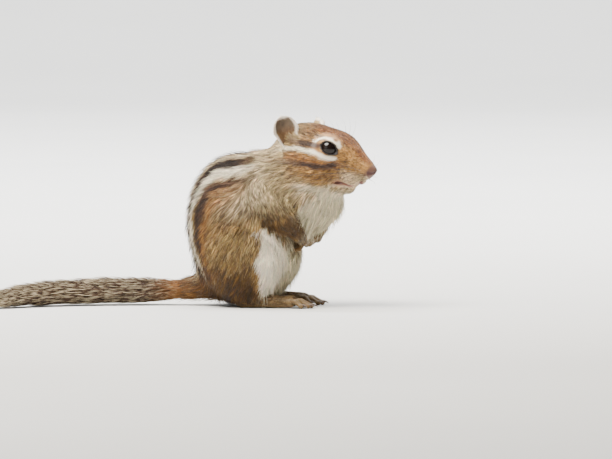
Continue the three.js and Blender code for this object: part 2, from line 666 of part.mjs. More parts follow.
add("torso", torso(), "agouti");
add("neck", neck(), "agouti");
add("head", head(), "agouti");
for (const [word, s] of [["right", RIGHT], ["left", LEFT]]) {
  add(`eye_${word}`, eye(s), "eyeball");
  add(`ear_${word}`, ear(s), "earSkin");
  add(`upper_arm_${word}`, upperArm(s), "agouti");
  add(`forearm_${word}`, forearm(s), "agouti");
  add(`forepaw_${word}`, forepaw(s), "footSkin");
  add(`haunch_${word}`, haunch(s), "rust");
  add(`hind_foot_${word}`, hindFoot(s), "footSkin");
}
add("tail_root", tailRoot(), "rust");
add("tail_brush", tailBrush(), "grizzle");

// The origin is the middle of the floor under the whole animal
const box = new THREE.Box3().setFromObject(chipmunk);
const middle = box.getCenter(new THREE.Vector3());
chipmunk.position.set(-middle.x, -middle.y, -box.min.z);

export default chipmunk;
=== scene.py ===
# %% [markdown]
# # A chipmunk, sitting up
# This lesson dresses a small striped rodent that sits on its haunches and holds its forepaws together.
# The solid model that comes first settles its size and place, and nothing here moves it. The lesson gives
# it one living skin, a coat of fine hair with the stripes of its kind, wet eyes, claws and whiskers.
# Sizes are in millimetres until a mesh is made, because that is how a modeller thinks of so small an
# animal.

import json
import math

import bpy
import numpy as np
from mathutils import Matrix, Vector
from mathutils.kdtree import KDTree

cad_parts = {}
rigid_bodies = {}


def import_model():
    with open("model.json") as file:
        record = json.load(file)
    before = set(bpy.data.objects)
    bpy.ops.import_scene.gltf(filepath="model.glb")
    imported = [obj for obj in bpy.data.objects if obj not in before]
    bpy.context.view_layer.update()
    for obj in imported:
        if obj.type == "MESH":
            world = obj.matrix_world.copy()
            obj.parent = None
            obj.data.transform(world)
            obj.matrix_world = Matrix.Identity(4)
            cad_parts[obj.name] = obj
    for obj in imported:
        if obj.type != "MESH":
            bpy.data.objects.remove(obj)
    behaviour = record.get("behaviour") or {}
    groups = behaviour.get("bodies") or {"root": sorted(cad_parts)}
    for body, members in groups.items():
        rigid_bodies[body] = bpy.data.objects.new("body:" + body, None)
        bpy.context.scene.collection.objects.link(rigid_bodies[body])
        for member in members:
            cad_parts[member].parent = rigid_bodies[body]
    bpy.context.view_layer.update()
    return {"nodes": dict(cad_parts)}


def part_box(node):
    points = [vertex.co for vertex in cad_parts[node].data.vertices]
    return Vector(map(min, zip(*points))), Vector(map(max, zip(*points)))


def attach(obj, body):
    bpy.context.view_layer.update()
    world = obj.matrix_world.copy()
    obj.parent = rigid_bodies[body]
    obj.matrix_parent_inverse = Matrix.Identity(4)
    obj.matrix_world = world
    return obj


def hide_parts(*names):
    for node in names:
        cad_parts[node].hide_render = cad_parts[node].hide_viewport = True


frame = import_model()
chance = np.random.default_rng(11)
print("nodes:", len(frame["nodes"]))

# %% [markdown]
# ## One frame for all
# The animal was drawn with its own zero under the middle of its body. The solid model puts zero under the
# middle of its whole box, tail and all. The right eye is known in both, so it gives the shift between them.
# The head has a frame of its own: X runs out through the nose, Z out through the crown.

# %% The head's frame and the shift
MM = 0.001
HEAD_AT = (19.6, -1.5, 65.2)
HEAD_TURN = -15
HEAD_NOD = 12
EYE_AT = np.array([10.6, 8.5, 6.3])
EYE_RADIUS = 4.1

head_matrix = (
    Matrix.Translation(HEAD_AT)
    @ Matrix.Rotation(math.radians(HEAD_TURN), 4, "Z")
    @ Matrix.Rotation(math.radians(HEAD_NOD), 4, "Y")
)
HEAD_AXES = np.array(head_matrix.to_3x3())
HEAD_ORIGIN = np.array(HEAD_AT)


def from_head(points):
    return np.asarray(points) @ HEAD_AXES.T + HEAD_ORIGIN


def to_head(points):
    return (points - HEAD_ORIGIN) @ HEAD_AXES


def mirrored(point, side):
    return np.array([point[0], point[1] * side, point[2]])


eye_low, eye_high = (np.array(corner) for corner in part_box("eye_right"))
SHIFT = (eye_low + eye_high) / 2 / MM - from_head(mirrored(EYE_AT, -1))


def metres(points):
    return (np.asarray(points) + SHIFT) * MM


def unit(v):
    return np.asarray(v, dtype=float) / np.linalg.norm(v)


print("shift in mm:", SHIFT.round(2))

# %% [markdown]
# ## Camera
# The photograph was taken from the animal's right with a long lens, close to level, so lines hardly
# converge. The body is turned a little towards the camera, which is why both forepaws show.

# %% Place the camera
CAMERA_AZIMUTH = 12
CAMERA_ELEVATION = 3
LENS = 400
SENSOR_WIDTH = 36
PHOTO_SIZE = (612, 459)
MM_PER_PIXEL = 0.435
ZERO_PIXEL = (270, 306)

azimuth = math.radians(CAMERA_AZIMUTH)
elevation = math.radians(CAMERA_ELEVATION)
towards_camera = Vector(
    (
        math.sin(azimuth) * math.cos(elevation),
        -math.cos(azimuth) * math.cos(elevation),
        math.sin(elevation),
    )
)
photo_right = Vector((math.cos(azimuth), math.sin(azimuth), 0))
photo_up = towards_camera.cross(photo_right)
zero = Vector(metres((0, 0, 0)))
middle = (
    zero
    + photo_right * (PHOTO_SIZE[0] / 2 - ZERO_PIXEL[0]) * MM_PER_PIXEL * MM
    - photo_up * (PHOTO_SIZE[1] / 2 - ZERO_PIXEL[1]) * MM_PER_PIXEL * MM
)
camera_data = bpy.data.cameras.new("long_lens")
camera_data.lens = LENS
camera_data.sensor_width = SENSOR_WIDTH
camera_data.clip_end = 20
distance = PHOTO_SIZE[0] * MM_PER_PIXEL * MM * LENS / SENSOR_WIDTH
camera = bpy.data.objects.new("camera", camera_data)
camera.location = middle + towards_camera * distance
camera.rotation_euler = towards_camera.to_track_quat("Z", "Y").to_euler()
bpy.context.collection.objects.link(camera)
bpy.context.scene.camera = camera
print("camera distance in m:", round(distance, 3))

# %% [markdown]
# ## Colours and nodes
# A picked colour is an sRGB hex value, and Blender wants linear light, so one function turns it.
# A second function adds a shader node with its settings and links, which keeps each material short.

# %% Helpers for materials


def colour(hex_value):
    parts = np.array([int(hex_value[i : i + 2], 16) / 255 for i in (1, 3, 5)])
    return np.where(parts <= 0.04045, parts / 12.92, ((parts + 0.055) / 1.055) ** 2.4)


def new_material(name):
    material = bpy.data.materials.new(name)
    material.use_nodes = True
    material.node_tree.nodes.clear()
    return material, material.node_tree


def node(tree, kind, settings=None, **inputs):
    made = tree.nodes.new(kind)
    for key, value in (settings or {}).items():
        setattr(made, key, value)
    for key, value in inputs.items():
        name = key.replace("_", " ")
        socket = made.inputs[int(key[1:])] if key[1:].isdigit() else made.inputs[name]
        if isinstance(value, bpy.types.NodeSocket):
            tree.links.new(value, socket)
        else:
            socket.default_value = value
    return made


def finish_material(tree, shader):
    node(tree, "ShaderNodeOutputMaterial", Surface=shader.outputs[0])


def mottled_material(name, dark, pale, grain, detail, **finish):
    """A material that wanders between two colours. grain is the number of mottles in a metre."""
    material, tree = new_material(name)
    place = node(tree, "ShaderNodeTexCoord")
    mottle = node(tree, "ShaderNodeTexNoise", Vector=place.outputs["Object"], Scale=grain, Detail=detail)
    tint = node(tree, "ShaderNodeMix", {"data_type": "RGBA"}, Factor=mottle.outputs["Fac"])
    tint.inputs[6].default_value = (*colour(dark), 1)
    tint.inputs[7].default_value = (*colour(pale), 1)
    shader = node(tree, "ShaderNodeBsdfPrincipled", Base_Color=tint.outputs[2], **finish)
    finish_material(tree, shader)
    return material


# %% [markdown]
# ## Floor and light
# A pale sweep runs from under the animal up behind it. Its wall stands metres away, so that a view from
# behind the animal is still inside it. One broad soft light from above, like a bright overcast sky, a
# weak one from the camera's left and a weak rim from behind give the coat form without hard shadows. A
# fourth light washes the foot of the wall, so that no grey band shows there.

# %% Floor and backdrop
FLOOR_REACH = 4.0
FLOOR_HALF_WIDTH = 4.0
WALL_START = 2.6
WALL_HEIGHT = 4.0
SWEEP_RADIUS = 2.0
SWEEP_STEPS = 12


def pale_sweep():
    back = -towards_camera.xy.normalized()
    across = Vector((photo_right.x, photo_right.y))
    profile = [(-FLOOR_REACH, 0.0), (WALL_START, 0.0)]
    for step in range(1, SWEEP_STEPS + 1):
        turn = math.radians(90 * step / SWEEP_STEPS)
        profile.append((WALL_START + SWEEP_RADIUS * math.sin(turn), SWEEP_RADIUS * (1 - math.cos(turn))))
    profile.append((WALL_START + SWEEP_RADIUS, WALL_HEIGHT))
    points = []
    for reach, height in profile:
        for end in (-FLOOR_HALF_WIDTH, FLOOR_HALF_WIDTH):
            spot = back * reach + across * end
            points.append((spot.x, spot.y, height))
    faces = [(2 * i, 2 * i + 1, 2 * i + 3, 2 * i + 2) for i in range(len(profile) - 1)]
    mesh = bpy.data.meshes.new("pale_sweep")
    mesh.from_pydata(points, [], faces)
    mesh.shade_smooth()
    sweep = bpy.data.objects.new("pale_sweep", mesh)
    bpy.context.collection.objects.link(sweep)
    paper = mottled_material("matt_studio_paper", "#c8c8c6", "#d0d0ce", 6.0, 3.0, Roughness=0.9)
    mesh.materials.append(paper)


pale_sweep()


# %% Lights
# Sizes and distances of the lights are in metres, and their power is in watts.
ANIMAL = Vector((0.02, 0, 0.05))


def soft_light(name, direction, size, power, tint, distance=1.1, aim=ANIMAL):
    light = bpy.data.lights.new(name, "AREA")
    light.shape = "DISK"
    light.size = size
    light.energy = power
    light.color = tint
    holder = bpy.data.objects.new(name, light)
    way = Vector(direction).normalized()
    holder.location = ANIMAL + way * distance
    holder.rotation_euler = (holder.location - aim).to_track_quat("Z", "Y").to_euler()
    bpy.context.collection.objects.link(holder)


WARM = (1.0, 0.95, 0.87)
HARDLY_WARM = (1.0, 0.98, 0.95)
PLAIN_WHITE = (1.0, 1.0, 1.0)
WALL_FOOT_REACH = 3.9
WALL_FOOT_HEIGHT = 0.5
WASH_LEAN = 0.35
WASH_DISTANCE = 2.2
soft_light("overcast_sky", (-0.3, -0.35, 1), 0.8, 50, WARM)
soft_light("open_shade", (-0.5, -1.0, 0.45), 0.9, 3.5, HARDLY_WARM)
soft_light("rim_glow", (0.5, 1.0, 0.8), 0.6, 5, WARM)
backdrop = -towards_camera.xy.normalized()
wall_foot = Vector((backdrop.x * WALL_FOOT_REACH, backdrop.y * WALL_FOOT_REACH, WALL_FOOT_HEIGHT))
wash_from = (backdrop.x * WASH_LEAN, backdrop.y * WASH_LEAN, 1)
soft_light("backdrop_wash", wash_from, 2.0, 420, PLAIN_WHITE, WASH_DISTANCE, wall_foot)
world = bpy.data.worlds.new("studio_air")
world.use_nodes = True
world.node_tree.nodes["Background"].inputs["Color"].default_value = (0.85, 0.88, 0.92, 1)
world.node_tree.nodes["Background"].inputs["Strength"].default_value = 0.2
bpy.context.scene.world = world

# %% [markdown]
# ## The body as a field
# A sculptor would start from balls and rolls of clay and smooth them together. This does the same with
# numbers. Each form says how far any point is from its surface, and forms run together where they meet.
# One surface through the whole field is then one skin, with no seam at the neck or the legs. The forms
# have the sizes of the solid model, less the depth of the coat that will grow on them. A few are shaped
# further here: the throat, the fill under the chest, the tip of the lower jaw and the lean of the right
# ear.

# %% Forms
FAR = 1e3


class Form:
    """One rounded form: where it is, how it joins, and how hair grows on it."""

    def __init__(self, near, centre, reach, blend, flow, hair, zone):
        self.near = near
        self.centre = np.array(centre, dtype=float)
        self.reach = reach
        self.blend = blend
        self.flow = np.array(flow, dtype=float)
        self.hair = hair
        self.zone = zone


def egg_distance(points, centre, radii, tip):
    c = math.cos(math.radians(tip))
    s = math.sin(math.radians(tip))
    d = points - centre
    x = (c * d[..., 0] - s * d[..., 2]) / radii[0]
    y = d[..., 1] / radii[1]
    z = (s * d[..., 0] + c * d[..., 2]) / radii[2]
    near = np.sqrt(x * x + y * y + z * z) + 1e-9
    slope = np.sqrt((x / radii[0]) ** 2 + (y / radii[1]) ** 2 + (z / radii[2]) ** 2) + 1e-9
    return near * (near - 1) / slope


def limb_distance(points, a, b, ra, rb):
    ba = b - a
    l2 = float(ba @ ba)
    rr = ra - rb
    a2 = l2 - rr * rr
    pa = points - a
    along = pa @ ba
    past = along - l2
    off = pa * l2 - along[..., None] * ba
    x2 = np.einsum("...i,...i->...", off, off)
    y2 = along * along * l2
    z2 = past * past * l2
    k = math.copysign(1, rr) * rr * rr * x2 if rr else np.zeros_like(x2)
    side = (np.sqrt(x2 * a2 / l2) + along * rr) / l2 - ra
    side = np.where(np.sign(along) * a2 * y2 < k, np.sqrt(x2 + y2) / l2 - ra, side)
    return np.where(np.sign(past) * a2 * z2 > k, np.sqrt(x2 + z2) / l2 - rb, side)


def egg(centre, radii, blend, coat, flow, hair, zone, tip=0, head=False):
    centre = np.array(centre, dtype=float)
    radii = np.array(radii, dtype=float) - coat

    def near(points):
        return egg_distance(to_head(points) if head else points, centre, radii, tip)

    place = from_head(centre) if head else centre
    flow = HEAD_AXES @ np.array(flow, dtype=float) if head else flow
    return Form(near, place, radii.max(), blend, flow, hair, zone)


def limb(a, b, ra, rb, blend, coat, hair, zone, flow=None, head=False):
    a = from_head(np.array(a, dtype=float)) if head else np.array(a, dtype=float)
    b = from_head(np.array(b, dtype=float)) if head else np.array(b, dtype=float)
    reach = np.linalg.norm(b - a) / 2 + max(ra, rb)
    if flow is None:
        flow = (b - a) / np.linalg.norm(b - a)
    elif head:
        flow = HEAD_AXES @ np.array(flow, dtype=float)

    def near(points):
        return limb_distance(points, a, b, ra - coat, rb - coat)

    return Form(near, (a + b) / 2, reach, blend, flow, hair, zone)


def run_together(d, e, blend):
    h = np.maximum(blend - np.abs(d - e), 0) / blend
    return np.minimum(d, e) - h * h * blend / 4


# %% [markdown]
# The trunk is a hunched sack of a body: a broad rump on the floor, a rounded back, and a chest that hangs
# forward under the chin. Hair lies from the nose towards the tail and down, so each form carries that
# direction.

# %% Trunk, haunches and arms
RIGHT = -1
LEFT = 1
COAT = 1.7
trunk = [
    egg((-12, 0, 16.6), (17.6, 19, 17), 1, COAT, (-0.3, 0, -1), 6.0, "rump"),
    egg((-8.2, 0, 24), (23, 18, 21), 8, COAT, (-0.25, 0, -1), 6.0, "belly"),
    egg((-14.5, 0, 36), (22.6, 19, 22), 8, COAT, (-0.5, 0, -0.9), 6.2, "back"),
    egg((-14, 0, 48.5), (19, 16.5, 18.5), 8, COAT, (-0.9, 0, -0.35), 6.2, "back"),
    egg((0, 0, 47), (17, 17, 18), 8, COAT, (-0.7, 0, -0.7), 5.6, "chest"),
    egg((16, 0, 45.5), (16.8, 13.5, 13.3), 8, COAT, (-0.45, 0, -0.9), 6.0, "chest"),
    limb((2, 0, 53), (16, -1, 61), 15, 13.5, 8, 1.5, 5.0, "neck", (-0.85, 0, -0.5)),
    limb((19.5, -1.5, 57.5), (20, -1, 51.5), 12, 10.2, 8, 1.6, 5.4, "chest", (-0.55, 0, -0.85)),
    egg((13.3, 0, 34.6), (7.2, 7, 6.6), 3, 1.2, (-0.2, 0, -1), 4.0, "chest"),
]
for side in (RIGHT, LEFT):
    trunk.append(egg((-9.5, 12.5 * side, 22), (18.3, 11, 20.5), 2.2, 1.6, (-0.35, 0, -0.95), 5.6, "haunch"))

SHOULDER = (-1, 12, 49)
ELBOW = {RIGHT: (10.2, -15.2, 38.2), LEFT: (9, 15.5, 38.4)}
WRIST = {RIGHT: (14.8, -10.2, 31.6), LEFT: (20.8, 8.5, 34.4)}
KNUCKLES = {RIGHT: (16.4, -7, 28.8), LEFT: (19.8, 5.4, 29.6)}
FINGER_TIPS = {RIGHT: (13, -4.4, 27.2), LEFT: (15.6, 2.2, 27.4)}
for side in (RIGHT, LEFT):
    shoulder = mirrored(SHOULDER, side)
    trunk.append(limb(shoulder, ELBOW[side], 7.5, 5.4, 5, 1.1, 4.0, "arm", (0.35, 0, -0.95)))
    trunk.append(limb(ELBOW[side], WRIST[side], 5.0, 3.5, 3, 0.7, 3.0, "arm"))
print("trunk forms:", len(trunk))

# %% [markdown]
# The head is a wedge seen from above: broad at the cheeks, drawn out to a blunt, bare nose. The eye
# bulges on the side of it, with a thin lid all round.

# %% Head
head_forms = [
    egg((-1.5, 0, 1.8), (16.5, 13.2, 13.2), 1, 0.9, (-1, 0, -0.05), 3.4, "head", head=True),
    egg((8.8, 0, 3.8), (12.4, 10.6, 9.0), 6, 0.6, (-1, 0, 0.1), 2.4, "head", head=True),
    limb((12, 0, 3.2), (25.4, 0, 0.3), 9.5, 4.9, 5, 0.3, 1.9, "face", (-1, 0, -0.1), head=True),
    limb((6, 0, -5.5), (19.3, 0, -8.3), 8.2, 3.8, 4, 0.6, 2.6, "face", (-0.9, 0, -0.5), head=True),
    egg((29.2, 0, 0.7), (1.9, 2.3, 1.7), 1.5, 0, (-1, 0, 0), 0.4, "nose", head=True),
]
LID = 0.75
for side in (RIGHT, LEFT):
    pad = mirrored((20.2, 3.6, -3.4), side)
    cheek = mirrored((2, 7.6, -3.6), side)
    eye = mirrored(EYE_AT, side)
    head_forms.append(egg(pad, (5.6, 3.8, 4.2), 2.4, 0.25, (-0.9, 0, -0.5), 1.6, "face", 24, True))
    head_forms.append(egg(cheek, (11.5, 7.6, 9.4), 5, 1.0, (-1, 0, -0.4), 3.8, "head", 0, True))
    head_forms.append(egg(eye, [EYE_RADIUS + LID] * 3, 2, 0, (-1, 0, 0), 1.0, "face", 0, True))
print("head forms:", len(head_forms))

# %% [markdown]
# Ears, fingers and toes are small and need a sharper join. An ear is a leaf with a hollow scooped from the
# side that faces out and forward, which leaves a thin rolled rim.

# %% Ears
EAR_ROOT = {RIGHT: (-6.6, -10.6, 3.2), LEFT: (-6.6, 10.4, 1.4)}
EAR_UP = {RIGHT: (-0.48, -0.2, 1.0), LEFT: (-0.1, 0.2, 1.0)}
EAR_HEIGHT = 14.0
EAR_HALF_WIDTH = {RIGHT: 5.7, LEFT: 6.2}
EAR_THICKNESS = 1.1
EAR_WIDEST_AT = 0.52
EAR_CUP_DEPTH = 3.4
EAR_SET_BACK = 1.6


def ear_axes(side):
    up = unit(EAR_UP[side])
    facing = np.array([0.66, side * 0.75, 0.02])
    across = unit(np.cross(up, facing))
    return up, across, np.cross(across, up)


def ear_place(points, side):
    """Height from 0 to 1, offset across, and offset out of the cup, all from the ear's root."""
    up, across, out = ear_axes(side)
    d = to_head(points) - np.array(EAR_ROOT[side])
    return d @ up / EAR_HEIGHT, d @ across, d @ out


def ear_spread(share, side, least=0):
    """Half the ear's width at a share of its height. It widens to its middle and is rounded above."""
    low = 0.5 + share * 0.95
    high = np.sqrt(np.clip(1 - ((share - EAR_WIDEST_AT) / (1 - EAR_WIDEST_AT)) ** 2, least, 1))
    return EAR_HALF_WIDTH[side] * np.where(share < EAR_WIDEST_AT, low, high)


def ear(side):
    def near(points):
        height, across, out = ear_place(points, side)
        share = np.clip(height, 0, 1)
        spread = ear_spread(share, side)
        a = across / np.maximum(spread, 0.3)
        cup = EAR_CUP_DEPTH * (1 - 0.5 * share) * (1 - np.clip(a * a, 0, 1.2))
        leaf = np.abs(out + cup - EAR_SET_BACK) * 0.85 - EAR_THICKNESS / 2
        edge = (np.abs(a) - 1) * np.maximum(spread, 0.3) * 0.8
        ends = (np.abs(height - 0.5) - 0.5) * EAR_HEIGHT
        inside = np.maximum(edge, ends)
        corner = np.sqrt(np.maximum(leaf, 0) ** 2 + np.maximum(inside, 0) ** 2)
        return corner + np.minimum(np.maximum(leaf, inside), 0)

    middle_of_ear = from_head(np.array(EAR_ROOT[side]) + ear_axes(side)[0] * EAR_HEIGHT / 2)
    way = HEAD_AXES @ (ear_axes(side)[0] - 0.3 * ear_axes(side)[2])
    return Form(near, middle_of_ear, 9, 1.6, way, 1.2, "ear")


extras = [ear(RIGHT), ear(LEFT)]

# %% [markdown]
# Each forepaw has four fingers that curl in to the chest. Each hind foot is long and flat, with five toes
# that arch from the sole and come down on a soft pad. The claws are horn and come later, as pieces of
# their own.

# %% Paws and feet
FINGER_SPREAD = 1.75
TOE_SPREAD = 1.9
TOE_LENGTHS = (5.6, 8.6, 9.6, 8.8, 6.2)
HEEL = (-9, 13.5, 3.1)
TOE_BASE = (12.2, 12.2, 2.9)
TOE_ARCH_HEIGHT = 3.1
TOE_TIP_HEIGHT = 1.15
claws = []


def paw(side):
    wrist = np.array(WRIST[side], dtype=float)
    knuckles = np.array(KNUCKLES[side], dtype=float)
    tips = np.array(FINGER_TIPS[side], dtype=float)
    down = unit(knuckles - wrist)
    across = unit(np.cross(down, tips - knuckles))
    made = [limb(wrist, knuckles, 2.6, 2.3, 1.5, 0.2, 2.0, "foot")]
    for finger in range(4):
        share = finger - 1.5
        base = knuckles + across * share * FINGER_SPREAD * 0.75
        bend = (tips + knuckles) / 2 + across * share * FINGER_SPREAD * 1.05 + down * 0.9
        tip = knuckles + (tips - knuckles) * (1 - 0.1 * abs(share)) + across * share * FINGER_SPREAD * 1.2
        made.append(limb(base, bend, 1.15, 0.95, 0.5, 0.1, 0.6, "foot"))
        made.append(limb(bend, tip, 0.95, 0.8, 0.3, 0.1, 0.5, "foot"))
        made.append(egg(tip, (0.95, 0.95, 0.95), 0.2, 0, unit(tip - bend), 0, "foot"))
        claws.append((tip, unit(tip - bend), unit(down - 0.5 * (tip - bend)), 2.1, 0.42))
    return made


def foot(side):
    heel = mirrored(HEEL, side)
    base = mirrored(TOE_BASE, side)
    ahead = unit((base - heel) * (1, 1, 0))
    across = np.array([-ahead[1], ahead[0], 0]) * side
    made = [
        limb(heel, base, 3.2, 2.7, 2, 0.25, 2.4, "foot"),
        limb(heel, base + across * 2.4 - (0, 0, 0.6), 2.6, 2.0, 1.5, 0.2, 2.2, "foot"),
        limb(heel, base - across * 2.4 - (0, 0, 0.6), 2.6, 2.0, 1.5, 0.2, 2.2, "foot"),
    ]
    for toe, length in enumerate(TOE_LENGTHS):
        share = toe - 2
        start = base + across * share * TOE_SPREAD * 0.75 - ahead
        way = unit(ahead + across * share * 0.12)
        bend = start + way * length * 0.55 + across * share * 0.25
        bend[2] = TOE_ARCH_HEIGHT
        tip = start + way * length + across * share * 0.35
        tip[2] = TOE_TIP_HEIGHT
        made.append(limb(start, bend, 1.35, 1.15, 0.8, 0.15, 0.9, "foot"))
        made.append(limb(bend, tip, 1.15, 0.95, 0.5, 0.1, 0.7, "foot"))
        made.append(egg(tip - (0, 0, 0.1), (1.15, 1.1, 1.0), 0.4, 0, way, 0, "foot"))
        claws.append((tip + (0, 0, 0.35), way, np.array([0, 0, -1.0]), 3.3, 0.55))
    return made


for side in (RIGHT, LEFT):
    extras += paw(side) + foot(side)
print("extra forms:", len(extras))

# %% [markdown]
# The tail leaves the rump low down, lies on the floor and swings to the animal's right. Its bone is thin:
# most of what one sees is hair. The skin takes in its root, and a core of its own carries on from there.

# %% The tail's line
TAIL_ROUTE = (
    (-24, 0, 10),
    (-34, 0, 7.4),
    (-50, -2, 5.6),
    (-69, -7.5, 5),
    (-87, -16.5, 4.6),
    (-100, -28, 4.2),
    (-108, -38, 3.6),
)


def along_curve(points, count):
    """Evenly spaced points on a smooth curve through the given ones."""
    p = np.array(points, dtype=float)
    p = np.vstack([2 * p[0] - p[1], p, 2 * p[-1] - p[-2]])
    fine = []
    for i in range(1, len(p) - 2):
        t = np.linspace(0, 1, 40, endpoint=False)[:, None]
        a, b, c, d = p[i - 1], p[i], p[i + 1], p[i + 2]
        curve = 2 * b + (c - a) * t + (2 * a - 5 * b + 4 * c - d) * t**2 + (3 * b - a - 3 * c + d) * t**3
        fine.append(0.5 * curve)
    fine = np.vstack(fine + [p[-2][None]])
    run = np.concatenate([[0], np.cumsum(np.linalg.norm(np.diff(fine, axis=0), axis=1))])
    return np.stack([np.interp(np.linspace(0, run[-1], count), run, fine[:, i]) for i in range(3)], -1)


tail_line = along_curve(TAIL_ROUTE, 241)
extras.append(limb((-24, 0, 10.5), (-34, 0, 7.8), 8.0, 5.6, 5, 1.8, 5.5, "tail_root", (-1, 0, -0.15)))
extras.append(limb((-34, 0, 7.6), (-45, -1.2, 6), 5.4, 4.2, 3, 1.8, 6.5, "tail_root", (-1, -0.1, -0.1)))
print("tail length in mm:", round(float(np.linalg.norm(np.diff(tail_line, axis=0), axis=1).sum())))

# %% [markdown]
# ## Openings
# Lids, lips, nostrils and the fold between thigh and flank are cuts into the field. The opening of the
# eye is an almond cone round the eye's own axis. The mouth is a groove drawn along the lips, each nostril
# is a short slit that curls back, and the fold is a shallow groove. Their lines are first moved onto the
# surface.

# %% Cuts
EYE_OUT = unit((0.42, 0.88, 0.22))
EYE_HALF_WIDE = math.tan(math.radians(54))
EYE_HALF_HIGH = math.tan(math.radians(35))
MOUTH_GROOVE = 0.5
PHILTRUM_GROOVE = 0.22
NOSTRIL_GROOVE = 0.5
THIGH_GROOVE = 1.0
NOSTRIL = ((30.8, 0.9, 0.2), (30.2, 2.0, -0.6), (29.0, 3.2, -0.5))
MOUTH_ROUTE = ((11.5, 8, -9.8), (15, 7, -8.9), (19.2, 5.6, -8.2), (23, 3.4, -7.8), (25.6, 0.9, -7))


def eye_place(points, side):
    """Offsets from the eye's middle: along the slit, up, and out along the eye's axis."""
    out = mirrored(EYE_OUT, side)
    slit = np.array([0.98, 0, -0.2])
    slit = unit(slit - out * (slit @ out))
    up = np.cross(out, slit) * -side
    d = to_head(points) - mirrored(EYE_AT, side)
    return d @ slit, d @ up, d @ out


def eye_opening(points, side):
    across, up, out = eye_place(points, side)
    a = np.abs(across) / EYE_HALF_WIDE
    b = np.abs(up) / EYE_HALF_HIGH
    return ((a**1.75 + b**1.75) ** (1 / 1.75) - out) * 0.6


def polyline_distance(points, route):
    route = np.asarray(route, dtype=float)
    best = np.full(points.shape[:-1], FAR)
    for a, b in zip(route[:-1], route[1:]):
        ab = b - a
        t = np.clip(((points - a) @ ab) / (ab @ ab), 0, 1)
        best = np.minimum(best, np.linalg.norm(points - a - t[..., None] * ab, axis=-1))
    return best


mouth_half = np.array(MOUTH_ROUTE, dtype=float)
mouth_line = np.vstack([mouth_half, mouth_half[::-1] * (1, -1, 1)])
philtrum = np.array([(26.2, 0, -6.6), (28.6, 0, -3.6), (30.3, 0, -1.2)])
cuts = []


def add_cut(near, centre, reach, blend):
    cuts.append(Form(near, from_head(np.array(centre, dtype=float)), reach, blend, (0, 0, 0), 0, ""))


def set_on(distance, p, steps=5):
    """Points moved onto a surface, so that a groove along them has an even depth."""
    for _ in range(steps):
        d, slope = slope_of(distance, p)
        p = p - (d / (slope**2).sum(-1))[:, None] * slope
    return p


def slope_of(distance, points, step=0.05):
    d = distance(points)
    slope = np.stack([(distance(points + np.eye(3)[i] * step) - d) / step for i in range(3)], -1)
    return d, slope


def joined(forms, points):
    d = np.full(points.shape[:-1], FAR)
    for form in forms:
        d = run_together(d, form.near(points), form.blend)
    return d


def face_only(points):
    return joined(head_forms, points)


mouth_on_skin = to_head(set_on(face_only, from_head(along_curve(mouth_line, 24))))
philtrum_on_skin = to_head(set_on(face_only, from_head(along_curve(philtrum, 24))))
nostril_on_skin = to_head(set_on(face_only, from_head(along_curve(NOSTRIL, 12))))
THIGH_FOLD = ((-17, 19, 39.5), (-8, 19, 37), (-2, 19, 32.5), (5, 16, 27), (7, 14, 18))
thigh_fold = set_on(lambda p: joined(trunk, p), along_curve(THIGH_FOLD, 24))
add_cut(lambda p: polyline_distance(to_head(p), mouth_on_skin) - MOUTH_GROOVE, (20, 0, -8), 12, 0.5)
add_cut(lambda p: polyline_distance(to_head(p), philtrum_on_skin) - PHILTRUM_GROOVE, (28, 0, -4), 6, 0.4)
for side in (RIGHT, LEFT):
    fold = thigh_fold * (1, side, 1)
    in_fold = lambda p, f=fold: polyline_distance(p, f) - THIGH_GROOVE
    cuts.append(Form(in_fold, fold.mean(0), 18, 1.6, (0, 0, 0), 0, ""))
    slit = nostril_on_skin * (1, side, 1)
    add_cut(lambda p, s=slit: polyline_distance(to_head(p), s) - NOSTRIL_GROOVE, (30, 0, 0.4), 4, 0.3)
    add_cut(lambda p, s=side: eye_opening(p, s), mirrored(EYE_AT, side), 8, 0.35)
print("cuts:", len(cuts))

# %% [markdown]
# ## One skin
# The field is read on a fine grid, block by block, with only the forms that come near each block. Where
# the surface crosses a grid cell, the cell gets one point. Neighbouring points make the faces, and two
# short steps down the field's slope settle each point on the true surface.

# %% Read the field
CELL = 0.56
NET_LOW = np.array([-46.0, -26.5, -1.0])
NET_HIGH = np.array([52.0, 26.5, 86.0])
HEAD_BLEND = 6
BLOCK = 22
CHUNKS = 24
LOWEST_SKIN = 0.02


def near_forms(forms, low, high):
    kept = []
    for form in forms:
        gap = np.linalg.norm(np.maximum(np.maximum(low - form.centre, form.centre - high), 0))
        if gap < form.reach + form.blend + 2:
            kept.append(form)
    return kept


def field(points):
    low = points.reshape(-1, 3).min(0)
    high = points.reshape(-1, 3).max(0)
    d = joined(near_forms(trunk, low, high), points)
    heads = near_forms(head_forms, low, high)
    if heads:
        d = run_together(d, joined(heads, points), HEAD_BLEND)
    for form in near_forms(extras, low, high):
        d = run_together(d, form.near(points), form.blend)
    for form in near_forms(cuts, low, high):
        d = -run_together(-d, form.near(points), form.blend)
    return d


def read_field():
    count = np.ceil((NET_HIGH - NET_LOW) / CELL).astype(int) + 1
    value = np.full(count, FAR, dtype=np.float32)
    axes = [NET_LOW[i] + CELL * np.arange(count[i]) for i in range(3)]
    for i in range(0, count[0], BLOCK):
        for j in range(0, count[1], BLOCK):
            for k in range(0, count[2], BLOCK):
                parts = [axes[0][i : i + BLOCK], axes[1][j : j + BLOCK], axes[2][k : k + BLOCK]]
                points = np.stack(np.meshgrid(*parts, indexing="ij"), -1)
                value[i : i + BLOCK, j : j + BLOCK, k : k + BLOCK] = field(points)
    for axis in range(3):
        for end in (0, -1):
            rim = [slice(None)] * 3
            rim[axis] = end
            value[tuple(rim)] = np.maximum(value[tuple(rim)], 0.2)
    return value


